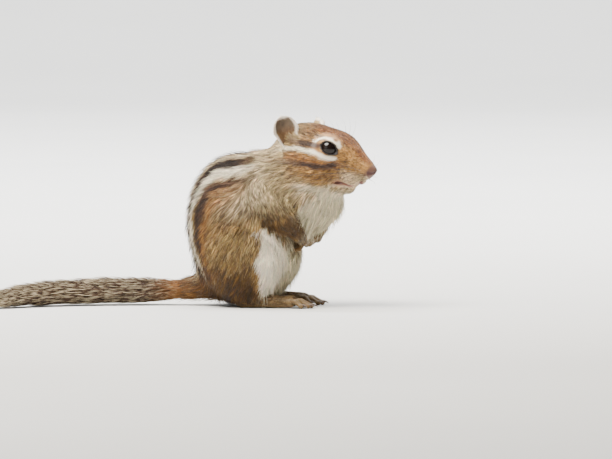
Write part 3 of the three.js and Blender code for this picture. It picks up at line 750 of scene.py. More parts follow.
def surface_net(value):
    """Points and four-sided faces where the grid of values crosses zero."""
    inside = value < 0
    shape = np.array(value.shape) - 1
    corner = [(a, b, c) for a in (0, 1) for b in (0, 1) for c in (0, 1)]

    def part(array, offset):
        return array[tuple(slice(o, o + n) for o, n in zip(offset, shape))]

    total = sum(part(inside, c).astype(np.int8) for c in corner)
    active = (total > 0) & (total < 8)
    place = np.zeros((int(active.sum()), 3))
    crossings = np.zeros(len(place))
    for c in corner:
        for axis in range(3):
            if c[axis]:
                continue
            d = tuple(v + (i == axis) for i, v in enumerate(c))
            start = part(value, c)[active].astype(float)
            stop = part(value, d)[active].astype(float)
            crossed = (start < 0) != (stop < 0)
            t = np.where(crossed, start / np.where(crossed, start - stop, 1), 0)
            for i in range(3):
                place[:, i] += np.where(crossed, c[i] + (t if i == axis else 0), 0)
            crossings += crossed
    place = place / crossings[:, None] + np.argwhere(active)
    number = np.full(active.shape, -1, dtype=np.int64)
    number[active] = np.arange(len(place))
    faces = []
    for axis in range(3):
        u, v = (axis + 1) % 3, (axis + 2) % 3
        ahead = np.roll(inside, -1, axis)
        crossed = inside != ahead
        spots = np.argwhere(crossed)
        spots = spots[(spots[:, axis] < shape[axis]) & (spots[:, u] > 0) & (spots[:, v] > 0)]
        spots = spots[(spots[:, u] < shape[u]) & (spots[:, v] < shape[v])]
        ring = []
        for du, dv in ((1, 1), (0, 1), (0, 0), (1, 0)):
            cell = spots.copy()
            cell[:, u] -= du
            cell[:, v] -= dv
            ring.append(number[tuple(cell.T)])
        ring = np.stack(ring, -1)
        outward = inside[tuple(spots.T)]
        faces.append(np.where(outward[:, None], ring, ring[:, ::-1]))
    return place, np.vstack(faces)


def settle(points, steps=2):
    out = points.copy()
    order = np.argsort(out[:, 2])
    for chunk in np.array_split(order, CHUNKS):
        for _ in range(steps):
            d, slope = slope_of(field, out[chunk])
            steep = np.maximum((slope**2).sum(-1), 0.15)
            move = -(d / steep)[:, None] * slope
            size = np.linalg.norm(move, axis=1, keepdims=True)
            out[chunk] += move * np.minimum(1, 0.35 * CELL / np.maximum(size, 1e-9))
    return out


net_points, net_faces = surface_net(read_field())
skin_points = settle(net_points * CELL + NET_LOW)
skin_points[:, 2] = np.maximum(skin_points[:, 2], LOWEST_SKIN)
print("skin points and faces:", len(skin_points), len(net_faces))

# %% [markdown]
# The net can leave a loose scrap where two thin forms nearly touch. Only the largest connected skin is
# kept.

# %% Make the skin's mesh


def filled_mesh(name, points, corners, sizes):
    """A mesh from points, the corners of all faces in one row, and the number of corners of each face."""
    mesh = bpy.data.meshes.new(name)
    mesh.vertices.add(len(points))
    mesh.vertices.foreach_set("co", metres(points).astype(np.float32).ravel())
    mesh.loops.add(len(corners))
    mesh.loops.foreach_set("vertex_index", np.asarray(corners, dtype=np.int32))
    mesh.polygons.add(len(sizes))
    mesh.polygons.foreach_set("loop_start", np.concatenate([[0], np.cumsum(sizes)[:-1]]).astype(np.int32))
    mesh.update(calc_edges=True)
    return mesh


def place_in_scene(name, mesh):
    mesh.shade_smooth()
    made = bpy.data.objects.new(name, mesh)
    bpy.context.collection.objects.link(made)
    return made


def mesh_object(name, points, faces):
    mesh = filled_mesh(name, points, np.concatenate(faces), [len(face) for face in faces])
    mesh.validate()
    return place_in_scene(name, mesh)


def largest_part(points, faces):
    label = np.arange(len(points))
    while True:
        lowest = label[faces].min(1)
        new = label.copy()
        for i in range(4):
            np.minimum.at(new, faces[:, i], lowest)
        new = new[new]
        if (new == label).all():
            break
        label = new
    main = np.bincount(label).argmax()
    kept = label == main
    number = np.cumsum(kept) - 1
    return points[kept], number[faces[kept[faces].all(1)]]


skin_points, skin_faces = largest_part(skin_points, net_faces)
skin = mesh_object("skin", skin_points, skin_faces)
flesh = ["torso", "neck", "head", "tail_root"]
for word in ("right", "left"):
    for part in ("ear", "upper_arm", "forearm", "forepaw", "haunch", "hind_foot"):
        flesh.append(f"{part}_{word}")
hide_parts(*flesh)
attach(skin, "root")
print("skin kept:", len(skin_points))

# %% [markdown]
# ## Unwrap
# Each place on the skin gets its own place on a flat map. The unwrap follows the skin's own shape. Hair
# takes its place on the map from the skin at its root.

# %% Unwrap the skin
MAP = "OFBake"


def unwrap(piece):
    bpy.context.view_layer.objects.active = piece
    piece.select_set(True)
    piece.data.uv_layers.new(name=MAP)
    bpy.ops.object.mode_set(mode="EDIT")
    bpy.ops.mesh.select_all(action="SELECT")
    bpy.ops.uv.smart_project(angle_limit=math.radians(70), island_margin=0.002)
    bpy.ops.object.mode_set(mode="OBJECT")
    piece.select_set(False)
    spots = np.empty(len(piece.data.loops) * 2, dtype=np.float32)
    piece.data.uv_layers[MAP].data.foreach_get("uv", spots)
    return spots.reshape(-1, 2)


skin_map = unwrap(skin)
print("map corners:", len(skin_map))

# %% [markdown]
# ## Markings
# Five dark lines run down the back, with a pale one between each two. A line's place is its distance from
# the midline, in millimetres. The cheeks carry a white line under the eye with a rusty and a brown one
# below it, a dark line through the eye and a white brow. Below, the animal is cream white. These rules
# colour skin and hair alike, so a parting in the coat never shows a wrong colour.

# %% Palette
PALETTE = {
    "buff": "#a0763f",
    "flank": "#94794a",
    "grey_buff": "#ab9160",
    "rust": "#93602a",
    # haunch is the dark rump fur, and also serves as painted shade on the lower body, the near arm and the
    # near forepaw.
    "haunch": "#503712",
    "dark": "#2a211d",
    "brown": "#54392a",
    # cream is a pale fur colour, and on the upper body it also serves as painted light.
    "cream": "#d8c7a4",
    "white": "#e9dfc9",
    "ochre": "#a1743a",
    # belly is the white underside darkened with painted shade.
    "belly": "#cfc3a0",
    "crown": "#70431a",
    "ear": "#62503d",
    "ear_rim": "#e8dccb",
    "lid": "#1c1512",
    "nose": "#624538",
    # nostril also serves as painted shade in the mouth's groove, the philtrum and the nostrils.
    "nostril": "#4a2723",
    "lip": "#8f6353",
    "sole": "#a98474",
    "foot": "#66502f",
    "tail": "#8d7356",
}
TINT = {name: colour(value) for name, value in PALETTE.items()}


def smooth_step(low, high, value):
    t = np.clip((value - low) / (high - low), 0, 1)
    return t * t * (3 - 2 * t)


def band(value, centre, half, soft):
    return 1 - smooth_step(half - soft, half + soft, np.abs(value - centre))


def paint(base, name, amount):
    return base + (TINT[name] - base) * np.clip(amount, 0, 1)[..., None]


def wander(points, size, seed):
    """A soft, even noise from -1 to 1 with lumps of about the given size."""
    draw = np.random.default_rng(seed)
    total = np.zeros(len(points))
    for _ in range(14):
        way = draw.normal(size=3)
        way /= np.linalg.norm(way)
        rate = draw.uniform(0.6, 1.5)
        phase = draw.uniform(0, 6.28)
        total += np.sin(points @ way * (2 * math.pi / size) * rate + phase)
    return total / 5.3


# %% Where the bands run
# Each band's place is its distance from the midline in mm, high on the back and low on the rump.
BANDS = {
    "inner_cream": (5.4, 3.8),
    "inner_dark": (9.0, 6.4),
    "outer_cream": (11.9, 9.6),
    "outer_dark": (14.5, 13.4),
}


def band_place(name, z):
    high, low = BANDS[name]
    place = high + (low - high) * smooth_step(53, 42, z)
    spread = 3.4 if name == "outer_dark" else 1.2
    return place + spread * smooth_step(29, 15, z)


# %% Colour of the trunk
def trunk_colour(p):
    x, z = p[:, 0], p[:, 2]
    off = np.abs(p[:, 1]) + 0.35 * wander(p, 6, 3)
    patchy = wander(p, 11, 4)
    edge = wander(p, 7, 5)
    base = np.tile(TINT["flank"], (len(p), 1))
    base = paint(base, "rust", smooth_step(26, 19, z) * 0.15 + band(off, 16.2, 2.2, 2) * 0.35)
    base = paint(base, "grey_buff", smooth_step(-10, 4, x + 3 * patchy) * 0.85)
    # Cream on the shoulder and the top of the body is painted light, where these face the sky.
    base = paint(base, "cream", band(x, -6 + 0.25 * (z - 46), 6, 5) * smooth_step(38, 46, z) * 0.45)
    base = paint(base, "cream", smooth_step(36, 46, z) * smooth_step(-26, -16, x) * 0.3)
    # The lower body turns dark brown towards the floor: partly the rump's own darker fur and partly painted
    # shade.
    base = paint(base, "haunch", smooth_step(31, 11, z + 2 * patchy))
    back = smooth_step(1, -12, x - 0.35 * (z - 55) + 2 * patchy) * smooth_step(9, 18, z)
    base = paint(base, "rust", band(off, 0, 9, 3) * back * 0.6)
    base = paint(base, "cream", band(off, band_place("inner_cream", z), 1.7, 0.8) * back * 0.95)
    spine = band(off, 0, 3.1, 0.8) * smooth_step(4, -10, x + 2 * patchy)
    base = paint(base, "dark", spine * smooth_step(9, 18, z))
    base = paint(base, "rust", band(off, band_place("inner_dark", z), 2.2, 0.8) * back * 0.8)
    base = paint(base, "dark", band(off, band_place("inner_dark", z), 2.1, 0.6) * back)
    outer_pale = band(off, band_place("outer_cream", z), 1.25, 0.6) * back
    base = paint(base, "white", outer_pale * smooth_step(10, 26, z))
    outer = band_place("outer_dark", z)
    thick = 0.75 + 0.5 * smooth_step(54, 44, z)
    base = paint(base, "rust", band(off, outer + thick + 0.6, 0.9, 0.7) * back * 0.6)
    base = paint(base, "brown", band(off / thick, outer / thick, 1.0, 0.5) * back)
    core = band(off / thick, outer / thick, 0.6, 0.5) * back
    base = paint(base, "dark", core * smooth_step(58, 46, z) * 0.85)
    edge = edge + 0.9 * wander(p * (1, 1, 0.35), 3, 9)
    fold = polyline_distance(np.stack([x, np.abs(p[:, 1]), z], -1), thigh_fold)
    # A dark line along the fold between thigh and flank is painted shade in the crease.
    base = paint(base, "brown", smooth_step(2.2, 0.4, fold + 0.3 * edge) * 0.7)
    thigh = smooth_step(-4, 3, x + 1.4 * edge)
    thigh = thigh * smooth_step(-5, 3.5, 35.5 - 0.84 * (x - 1) - z + 1.4 * edge)
    breast = np.interp(z, [30, 45, 48.5, 51, 53.5, 58], [14, 15, 20.5, 23.5, 27, 31])
    breast = smooth_step(-5, 4, x + 1.8 * edge - breast)
    under = smooth_step(1, 5, x) * smooth_step(12.5, 6.5, np.abs(p[:, 1]) + edge) * smooth_step(60, 55, z)
    pale = np.maximum(np.maximum(thigh, breast), under)
    streaks = smooth_step(0.1, 0.9, wander(p * (0.8, 1, 0.3), 2.2, 11))
    base = paint(base, "brown", streaks * 0.4 * smooth_step(4, -4, x))
    base = paint(base, "buff", smooth_step(0.0, 0.4, pale) * 0.5)
    base = paint(base, "white", smooth_step(0.35, 0.9, pale))
    # The breast and underside take a duller, darker cream: painted shade on the parts that face down.
    shaded = np.maximum(breast, under)
    base = paint(base, "belly", smooth_step(0.1, 1.0, shaded) * 0.85)
    return paint(base, "grey_buff", smooth_step(1.6, 0.3, fold) * 0.5)


# %% Colour of the head
EYE_LINE = ((-6, 6.6), (-2.9, 6.2), (1.2, 6.3), (4.9, 6.7), (7.4, 7.0))
CREAM_LINE = (
    *((-12, 0.6), (-7.3, 1.9), (-3.5, 3.1), (0.9, 4.1)),
    *((4.7, 4.1), (8.2, 3.4), (11.4, 2.7), (15.4, 3.0)),
)
BROW_LINE = ((4.6, 8.2), (5.9, 9.7), (8.8, 10.9), (12.2, 10.8), (14.7, 9.3), (15.9, 7.9))
RUST_LINE = ((-4.2, -0.4), (0.9, 0.7), (4.8, 0.4), (8.6, -0.4), (12.8, -0.1), (16.4, 1.2))
DARK_LINE = ((-7.7, -3.0), (-1.6, -2), (4.1, -1.5), (7.6, -1.3), (11.8, -0.8), (16, 0.4))
CROWN_EDGE = (
    *((-12, 8.5), (-3.6, 9.6), (2.4, 11.6), (10.4, 12.4)),
    *((14.4, 11.0), (18.7, 8.3), (23.3, 5.4), (28, 3)),
)


def side_line(h, route, half, soft):
    flat = h[:, (0, 2)]
    return 1 - smooth_step(half - soft, half + soft, polyline_distance(flat, np.array(route, dtype=float)))


def head_colour(p):
    h = to_head(p)
    x, y, z = h[:, 0], np.abs(h[:, 1]), h[:, 2]
    wobble = wander(p, 4, 6)
    fine = h + 0.3 * wobble[:, None]
    on_side = smooth_step(2.5, 5.5, y)
    base = np.tile(TINT["buff"], (len(p), 1))
    base = paint(base, "grey_buff", smooth_step(4, -8, x + wobble) * 0.7)
    base = paint(base, "brown", smooth_step(5, 7, z) * smooth_step(4.5, 1, x) * 0.4)
    edge = np.interp(x, *zip(*CROWN_EDGE))
    base = paint(base, "crown", smooth_step(-1.0, 1.0, z - edge + 0.5 * wobble))
    back_of_crown = smooth_step(5, -5, x + wobble) * smooth_step(8, 12, z)
    base = paint(base, "grey_buff", back_of_crown * 0.6)
    streaks = smooth_step(-0.2, 0.7, wander(h * (0.3, 1, 1), 2.0, 12))
    base = paint(base, "dark", streaks * smooth_step(6, 8, z) * 0.6)
    base = paint(base, "brown", streaks * smooth_step(8, 6, z) * 0.35)
    base = paint(base, "dark", band(y, 0, 3.5, 3) * smooth_step(22, 8, x) * smooth_step(7, 11, z) * 0.35)
    base = paint(base, "ochre", smooth_step(14, 17, x) * smooth_step(8, 5, z - 0.1 * x) * on_side * 0.6)
    base = paint(base, "rust", side_line(fine, RUST_LINE, 1.7, 1.0) * on_side)
    base = paint(base, "brown", side_line(fine, DARK_LINE, 1.1, 0.8) * on_side)
    base = paint(base, "dark", side_line(fine, DARK_LINE[2:], 0.6, 0.5) * on_side * 0.6)
    base = paint(base, "brown", side_line(fine, EYE_LINE, 1.2, 0.8) * on_side)
    base = paint(base, "dark", side_line(fine, EYE_LINE[2:], 0.6, 0.5) * on_side * 0.6)
    base = paint(base, "white", side_line(fine, CREAM_LINE, 0.9, 0.5) * on_side)
    base = paint(base, "white", side_line(fine, BROW_LINE, 0.42, 0.38) * on_side)
    base = paint(base, "dark", side_line(fine, ((18.8, 2.2), (20.2, 2.6)), 0.7, 0.5) * on_side * 0.7)
    base = paint(base, "cream", side_line(fine, ((-13, -1), (-11, 2.5)), 2.6, 1.2) * on_side * 0.8)
    low = smooth_step(-5.5, -10, z + 0.1 * x + wobble) * smooth_step(-2, 6, x + wobble)
    base = paint(base, "cream", low * 0.85)
    base = paint(base, "white", smooth_step(-9, -13, z + wobble) * smooth_step(-2, 6, x + wobble) * 0.7)
    pads = smooth_step(16, 20, x) * smooth_step(0.5, -2.5, z + 0.5 * wobble)
    base = paint(base, "cream", pads * 0.5)
    rows = np.sin((z + 0.25 * x) * 2 * math.pi / 1.3) * np.sin(x * 2 * math.pi / 1.5)
    return paint(base, "brown", pads * smooth_step(0.35, 0.7, rows) * smooth_step(26, 23, x) * 0.8)


# %% Bare places of the head


def bare_colour(p, base):
    """Lids, lips, nose and nostrils, whose skin shows, with painted shade in the mouth's groove, the
    philtrum and the nostrils.
    """
    h = to_head(p)
    nose = egg_distance(h, np.array([28.7, 0, 0.1]), np.array([3.6, 3.4, 2.9]), 0)
    base = paint(base, "nose", smooth_step(0.5, 0.0, nose))
    lips = polyline_distance(h, mouth_on_skin)
    base = paint(base, "lip", smooth_step(1.7, 0.8, lips) * smooth_step(12, 17, h[:, 0]))
    # The mouth's groove and the philtrum are painted dark: painted shade in the grooves.
    base = paint(base, "nostril", smooth_step(0.95, 0.5, lips) * 0.9)
    base = paint(base, "nostril", smooth_step(0.5, 0.25, polyline_distance(h, philtrum_on_skin)) * 0.6)
    for side in (RIGHT, LEFT):
        # The nostril slits and the patch round them are painted dark: painted shade in the openings.
        slit = nostril_on_skin * (1, side, 1)
        base = paint(base, "nostril", smooth_step(0.95, 0.5, polyline_distance(h, slit)))
        wing = np.linalg.norm(h - mirrored((27.7, 3.0, -1.1), side), axis=1)
        base = paint(base, "nostril", smooth_step(1.9, 0.7, wing) * 0.6)
        eye_edge = eye_opening(p, side)
        close = np.linalg.norm(h - mirrored(EYE_AT, side), axis=1) < EYE_RADIUS + 1.6
        base = paint(base, "lid", smooth_step(0.55, 0.25, eye_edge) * close)
    return base


def ear_colour(p):
    base = np.tile(TINT["ear"], (len(p), 1))
    base = base * (0.8 + 0.25 * wander(p, 3, 8))[:, None]
    for side in (RIGHT, LEFT):
        mine = to_head(p)[:, 1] * side > 0
        height, across, out = ear_place(p, side)
        share = np.clip(height, 0, 1)
        spread = ear_spread(share, side, 0.02)
        base = paint(base, "rust", band(height, 0.35, 0.2, 0.15) * mine * 0.25)
        base = paint(base, "dark", smooth_step(0.25, 0.05, height) * mine * 0.8)
        cup = EAR_CUP_DEPTH * (1 - 0.5 * share) * (1 - np.clip((across / spread) ** 2, 0, 1))
        behind = out + cup - EAR_SET_BACK
        base = paint(base, "grey_buff", smooth_step(0.0, -0.5, behind) * mine * 0.8)
        rim = np.maximum(smooth_step(0.7, 0.85, np.abs(across) / spread), smooth_step(0.88, 0.95, height))
        base = paint(base, "ear_rim", rim * mine)
    return base


# %% [markdown]
# A place is coloured as the zone it belongs to. Where zones meet, the colours mix by how near each form is,
# so the neck passes softly into the head and the wrist into the paw.

# %% Zones
all_forms = trunk + head_forms + extras
ZONES = sorted({form.zone for form in all_forms})


def nearness(points):
    """For each point, how strongly each form claims it. Each row adds to one."""
    gaps = np.stack([form.near(points) for form in all_forms], -1)
    gaps = gaps - gaps.min(-1, keepdims=True)
    weight = np.exp(-gaps / 0.9)
    return weight / weight.sum(-1, keepdims=True)


def zone_share(weights, *names):
    return sum(weights[:, i] for i, form in enumerate(all_forms) if form.zone in names)


def coat_colour(p, weights):
    base = trunk_colour(p)
    head = zone_share(weights, "head", "face", "nose")
    h = to_head(p)
    head = head * smooth_step(-17, -9, h[:, 0]) * smooth_step(-17, -10, h[:, 2])
    base = base + (head_colour(p) - base) * head[:, None]
    arm = zone_share(weights, "arm")
    inner = smooth_step(9, 14, np.abs(p[:, 1]))
    # The lower outer side of each arm, the near arm and the near forepaw are painted dark brown: painted
    # shade. The far arm keeps its ochre.
    base = paint(base, "haunch", arm * inner * smooth_step(50, 40, p[:, 2]) * 0.85)
    base = paint(base, "haunch", arm * smooth_step(-2, 2, -p[:, 1]) * smooth_step(42, 37, p[:, 2]))
    base = paint(base, "ochre", arm * smooth_step(-2, 2, p[:, 1]) * smooth_step(42, 36, p[:, 2]))
    foot_share = zone_share(weights, "foot")
    base = paint(base, "foot", foot_share)
    painted_shade_near_forepaw = foot_share * smooth_step(20, 24, p[:, 2]) * smooth_step(2, -2, p[:, 1])
    base = paint(base, "haunch", painted_shade_near_forepaw * 0.7)
    base = paint(base, "rust", zone_share(weights, "tail_root") * 0.3)
    ear_share = zone_share(weights, "ear")
    base = base + (ear_colour(p) - base) * smooth_step(0.5, 0.8, ear_share)[:, None]
    return base


skin_weights = nearness(skin_points)
skin_tint = bare_colour(skin_points, coat_colour(skin_points, skin_weights))
print("zones:", ZONES)

# %% [markdown]
# ## Skin and hair materials
# Skin is living leather: soft, a little moist, with light that goes in and comes out red. Hair is
# keratin, whose index of refraction is about 1.55, with a dull, broken gloss on a small wild animal. Both
# read the same colour laid on the mesh, and fine noise breaks it up, as no two hairs are alike.

# %% Skin material


def lay_colour(mesh, values, name="coat"):
    layer = mesh.color_attributes.new(name=name, type="FLOAT_COLOR", domain="POINT")
    full = np.ones((len(values), 4), dtype=np.float32)
    full[:, :3] = values
    layer.data.foreach_set("color", full.ravel())


def living_skin():
    material, tree = new_material("living_skin")
    laid = node(tree, "ShaderNodeVertexColor", {"layer_name": "coat"})
    place = node(tree, "ShaderNodeTexCoord")
    # Pores of a small animal's skin are about a third of a millimetre apart, and creases about half of one.
    pores = node(tree, "ShaderNodeTexNoise", Vector=place.outputs["Object"], Scale=3000.0, Detail=2.0)
    creases = node(tree, "ShaderNodeTexVoronoi", Vector=place.outputs["Object"], Scale=1800.0)
    shade = node(tree, "ShaderNodeMapRange", Value=pores.outputs["Fac"], To_Min=0.78, To_Max=1.18)
    tinted = node(tree, "ShaderNodeVectorMath", {"operation": "SCALE"}, Scale=shade.outputs[0])
    tree.links.new(laid.outputs["Color"], tinted.inputs[0])
    bump = node(tree, "ShaderNodeBump", Strength=0.35, Distance=0.0002, Height=creases.outputs["Distance"])
    shader = node(
        tree,
        "ShaderNodeBsdfPrincipled",
        Base_Color=tinted.outputs[0],
        Roughness=0.52,
        IOR=1.42,
        Normal=bump.outputs[0],
    )
    shader.inputs["Subsurface Weight"].default_value = 0.15
    shader.inputs["Subsurface Radius"].default_value = (1.0, 0.4, 0.25)
    shader.inputs["Subsurface Scale"].default_value = 0.0012
    finish_material(tree, shader)
    return material


KERATIN_IOR = 1.55


def keratin_hair(name, roughness):
    material, tree = new_material(name)
    laid = node(tree, "ShaderNodeVertexColor", {"layer_name": "coat"})
    place = node(tree, "ShaderNodeTexCoord")
    # One hair is about 0.05 mm thick, too fine to show, so the streaks are drawn at 0.4 mm.
    streak = node(tree, "ShaderNodeTexNoise", Vector=place.outputs["Object"], Scale=2500.0, Detail=1.0)
    shade = node(tree, "ShaderNodeMapRange", Value=streak.outputs["Fac"], To_Min=0.72, To_Max=1.3)
    tinted = node(tree, "ShaderNodeVectorMath", {"operation": "SCALE"}, Scale=shade.outputs[0])
    tree.links.new(laid.outputs["Color"], tinted.inputs[0])
    shader = node(
        tree,
        "ShaderNodeBsdfPrincipled",
        Base_Color=tinted.outputs[0],
        Roughness=roughness,
        IOR=KERATIN_IOR,
    )
    shader.inputs["Specular IOR Level"].default_value = 0.22
    shader.inputs["Sheen Weight"].default_value = 0.03
    finish_material(tree, shader)
    return material


skin_material = living_skin()
coat_material = keratin_hair("short_keratin_hair", 0.62)
tail_material = keratin_hair("long_keratin_hair", 0.5)
skin.data.materials.append(skin_material)
lay_colour(skin.data, skin_tint)

# %% [markdown]
# ## How the coat grows
# Each tuft is a thin three-sided blade that tapers to a point and bends back to the body. It starts a
# little under the skin, leaves it at a low angle and follows the lie of the coat. The lie at a place is a
# mix of the directions of the forms near it, laid flat on the skin.

# %% Growing tufts


LOWEST_HAIR = 0.1
TUFT_TAPER = 0.45
RIDGE_SHARE = 0.8
HALF_PATCH = 0.0014


def normalised(v):
    return v / np.maximum(np.linalg.norm(v, axis=-1, keepdims=True), 1e-9)


def leaving(normals, lie, lift):
    """The way each tuft leaves the skin: along its lie, raised by its lift."""
    lean = normalised(lie - normals * (lie * normals).sum(-1, keepdims=True))
    return normalised(lean * np.cos(lift)[:, None] + normals * np.sin(lift)[:, None])


def grow(name, roots, normals, lie, length, width, lift, bend, tones, spots, sections=1):
    """One mesh of tufts. bend is how far each tip is drawn back to the skin. tones holds a colour for each
    ring of each tuft and for its tip."""
    n = len(roots)
    rings = sections + 1
    start = leaving(normals, lie, lift)
    across = normalised(np.cross(start, normals))
    ridge = np.cross(across, start)
    verts = np.empty((n, rings * 3 + 1, 3))
    tint = np.empty((n, rings * 3 + 1, 3))
    shares = np.append(np.linspace(0, 0.62 if sections > 1 else 0.5, rings), 1.0)
    for ring, t in enumerate(shares):
        middle_line = roots + start * (length * t)[:, None] - normals * (bend * t * t)[:, None]
        if ring == rings:
            verts[:, -1] = middle_line
            tint[:, -1] = tones[:, ring]
            continue
        half = (width * (1 - TUFT_TAPER * t * t))[:, None] / 2
        verts[:, ring * 3] = middle_line + across * half
        verts[:, ring * 3 + 1] = middle_line - across * half
        verts[:, ring * 3 + 2] = middle_line + ridge * half * RIDGE_SHARE
        tint[:, ring * 3 : ring * 3 + 3] = tones[:, ring][:, None]
    verts[..., 2] = np.maximum(verts[..., 2], LOWEST_HAIR)
    quads = []
    for ring in range(rings - 1):
        for i in range(3):
            j = (i + 1) % 3
            quads.append((ring * 3 + i, ring * 3 + 3 + i, ring * 3 + 3 + j, ring * 3 + j))
    last = (rings - 1) * 3
    tris = [(last + i, rings * 3, last + (i + 1) % 3) for i in range(3)]
    step = rings * 3 + 1
    base = np.arange(n)[:, None, None] * step
    loops = np.concatenate(
        [(np.array(quads)[None] + base).reshape(n, -1), (np.array(tris)[None] + base).reshape(n, -1)], 1
    )
    sizes = np.tile([4] * len(quads) + [3] * len(tris), n).astype(np.int32)
    mesh = filled_mesh(name, verts.reshape(-1, 3), loops.ravel(), sizes)
    lay_colour(mesh, tint.reshape(-1, 3))
    patch = np.zeros((step, 2))
    for ring in range(rings):
        patch[ring * 3 : ring * 3 + 3, 0] = (-1, 1, 0)
        patch[ring * 3 : ring * 3 + 3, 1] = 2 * ring / rings - 1
    patch[-1] = (0, 1)
    patch *= HALF_PATCH
    corner_spots = np.clip(spots[:, None] + patch[None], 0.0001, 0.9999).reshape(-1, 2)
    layer = mesh.uv_layers.new(name=MAP)
    layer.data.foreach_set("uv", corner_spots[loops.ravel()].astype(np.float32).ravel())
    piece = place_in_scene(name, mesh)
    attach(piece, "root")
    return piece


# %% [markdown]
# Roots are scattered over the skin by chance, closer where hair is short and fine. None grows on the
# nose, the lids, the lips or the soles, and the ears go with a third fewer. The longest tufts grow on the
# back, the rump and the tail's root. Those on chest and belly stand out most and break the outline.

# %% Scatter roots
# Tufts on each square millimetre of skin, by zone.
COVER = {"rump": 6.4, "belly": 6.2, "back": 7.4, "chest": 7.0, "neck": 8.2, "haunch": 7.4, "arm": 10.0}
COVER.update({"head": 14.0, "face": 18.0, "nose": 0.0, "ear": 10.0, "foot": 12.0, "tail_root": 6.0})


def scatter(points, faces, weights, spots):
    corners = points[faces]
    first = np.cross(corners[:, 1] - corners[:, 0], corners[:, 2] - corners[:, 0])
    second = np.cross(corners[:, 2] - corners[:, 0], corners[:, 3] - corners[:, 0])
    area = (np.linalg.norm(first, axis=1) + np.linalg.norm(second, axis=1)) / 2
    cover = sum(weights[:, i] * COVER[form.zone] for i, form in enumerate(all_forms))
    wanted = area * cover[faces].mean(1)
    total = int(wanted.sum())
    chosen = np.sort(chance.choice(len(faces), size=total, p=wanted / wanted.sum()))
    u = chance.random((total, 1))
    v = chance.random((total, 1))
    share = [(1 - u) * (1 - v), u * (1 - v), u * v, (1 - u) * v]
    c = corners[chosen]
    roots = sum(s * c[:, i] for i, s in enumerate(share))
    face_spots = spots.reshape(-1, 4, 2)[chosen]
    root_spots = sum(s * face_spots[:, i] for i, s in enumerate(share))
    return roots, root_spots


def skin_normals(points):
    out = np.empty_like(points)
    for chunk in np.array_split(np.argsort(points[:, 2]), CHUNKS):
        out[chunk] = normalised(slope_of(field, points[chunk], 0.12)[1])
    return out


roots, root_spots = scatter(skin_points, skin_faces, skin_weights, skin_map)
normals = skin_normals(roots)
root_weights = nearness(roots)


def bare(p, n):
    """True where no hair grows."""
    h = to_head(p)
    nose = egg_distance(h, np.array([28.9, 0, 0.1]), np.array([3.2, 3.2, 2.7]), 0) < 0.1
    lips = polyline_distance(h, mouth_on_skin) < 1.05
    soles = (n[:, 2] < -0.5) & (p[:, 2] < 3)
    cup = (zone_share(root_weights, "ear") > 0.5) & (chance.random(len(p)) < 0.35)
    lids = np.zeros(len(p), dtype=bool)
    for side in (RIGHT, LEFT):
        close = np.linalg.norm(h - mirrored(EYE_AT, side), axis=1) < EYE_RADIUS + 2.2
        lids |= close & (eye_opening(p, side) < 0.5)
    return nose | lips | soles | lids | cup | (p[:, 2] < 0.4)


kept = ~bare(roots, normals)
roots, root_spots, normals, root_weights = (a[kept] for a in (roots, root_spots, normals, root_weights))
print("tufts on the body:", len(roots))

# %% Lie and length of the body's tufts
LONG_ZONES = ("rump", "back", "haunch", "chest", "neck", "belly", "tail_root")
hair_length = np.array([form.hair for form in all_forms])
hair_flow = np.array([form.flow / np.linalg.norm(form.flow) for form in all_forms])
lie = root_weights @ hair_flow
eye_gap = np.full(len(roots), FAR)
for side in (RIGHT, LEFT):
    out_of_eye = to_head(roots) - mirrored(EYE_AT, side)
    gap = np.linalg.norm(out_of_eye, axis=1) - EYE_RADIUS
    away = smooth_step(4.5, 1.0, gap)[:, None]
    lie = lie + (out_of_eye @ HEAD_AXES.T) / (EYE_RADIUS + 1) * away * 0.5
    eye_gap = np.minimum(eye_gap, gap)
lie = normalised(lie) + 0.2 * np.stack([wander(roots, 7, 20 + i) for i in range(3)], -1)
lie = normalised(lie - normals * (lie * normals).sum(-1, keepdims=True))
length = (root_weights @ hair_length) * chance.uniform(0.72, 1.15, len(roots))
length *= 0.45 + 0.55 * smooth_step(0.5, 4.0, eye_gap)
length *= 0.5 + 0.5 * smooth_step(0.8, 3.5, polyline_distance(to_head(roots), mouth_on_skin))
length = np.maximum(length, 0.5)
guard = (chance.random(len(roots)) < 0.1) * zone_share(root_weights, *LONG_ZONES)
length *= 1 + 0.3 * guard
width = (0.15 + 0.032 * length) * (1 - 0.35 * guard)

# %% [markdown]
# Damp, oiled hair gathers into small locks with darker gaps between, and that is most of what the eye
# reads as fur. One tuft in ten leads a lock, and those around it lean towards its tip and take something
# of its tone.

# %% Gather the tufts into locks
TUFTS_IN_A_LOCK = 10
OWN_LIE = 0.55
LEAN_TO_LEADER = 0.75
STRAY = 0.1
leaders = np.sort(chance.choice(len(roots), len(roots) // TUFTS_IN_A_LOCK, replace=False))
finder = KDTree(len(leaders))
for number, spot in enumerate(roots[leaders]):
    finder.insert(spot, number)
finder.balance()
leader = leaders[np.array([finder.find(spot)[1] for spot in roots])]
lock_tip = roots[leader] + lie[leader] * (length[leader] * 1.05)[:, None]
lean = LEAN_TO_LEADER * normalised(lock_tip - roots)
lie = normalised(OWN_LIE * lie + lean + STRAY * chance.normal(size=roots.shape))

# %% [markdown]
# A tuft must neither sink into a fold nor float off a curve. So the field is read at each tip, and the
# tuft is bent until its tip stands at the height it should. Tips stand higher on the breast and belly,
# and guard hairs highest of all.

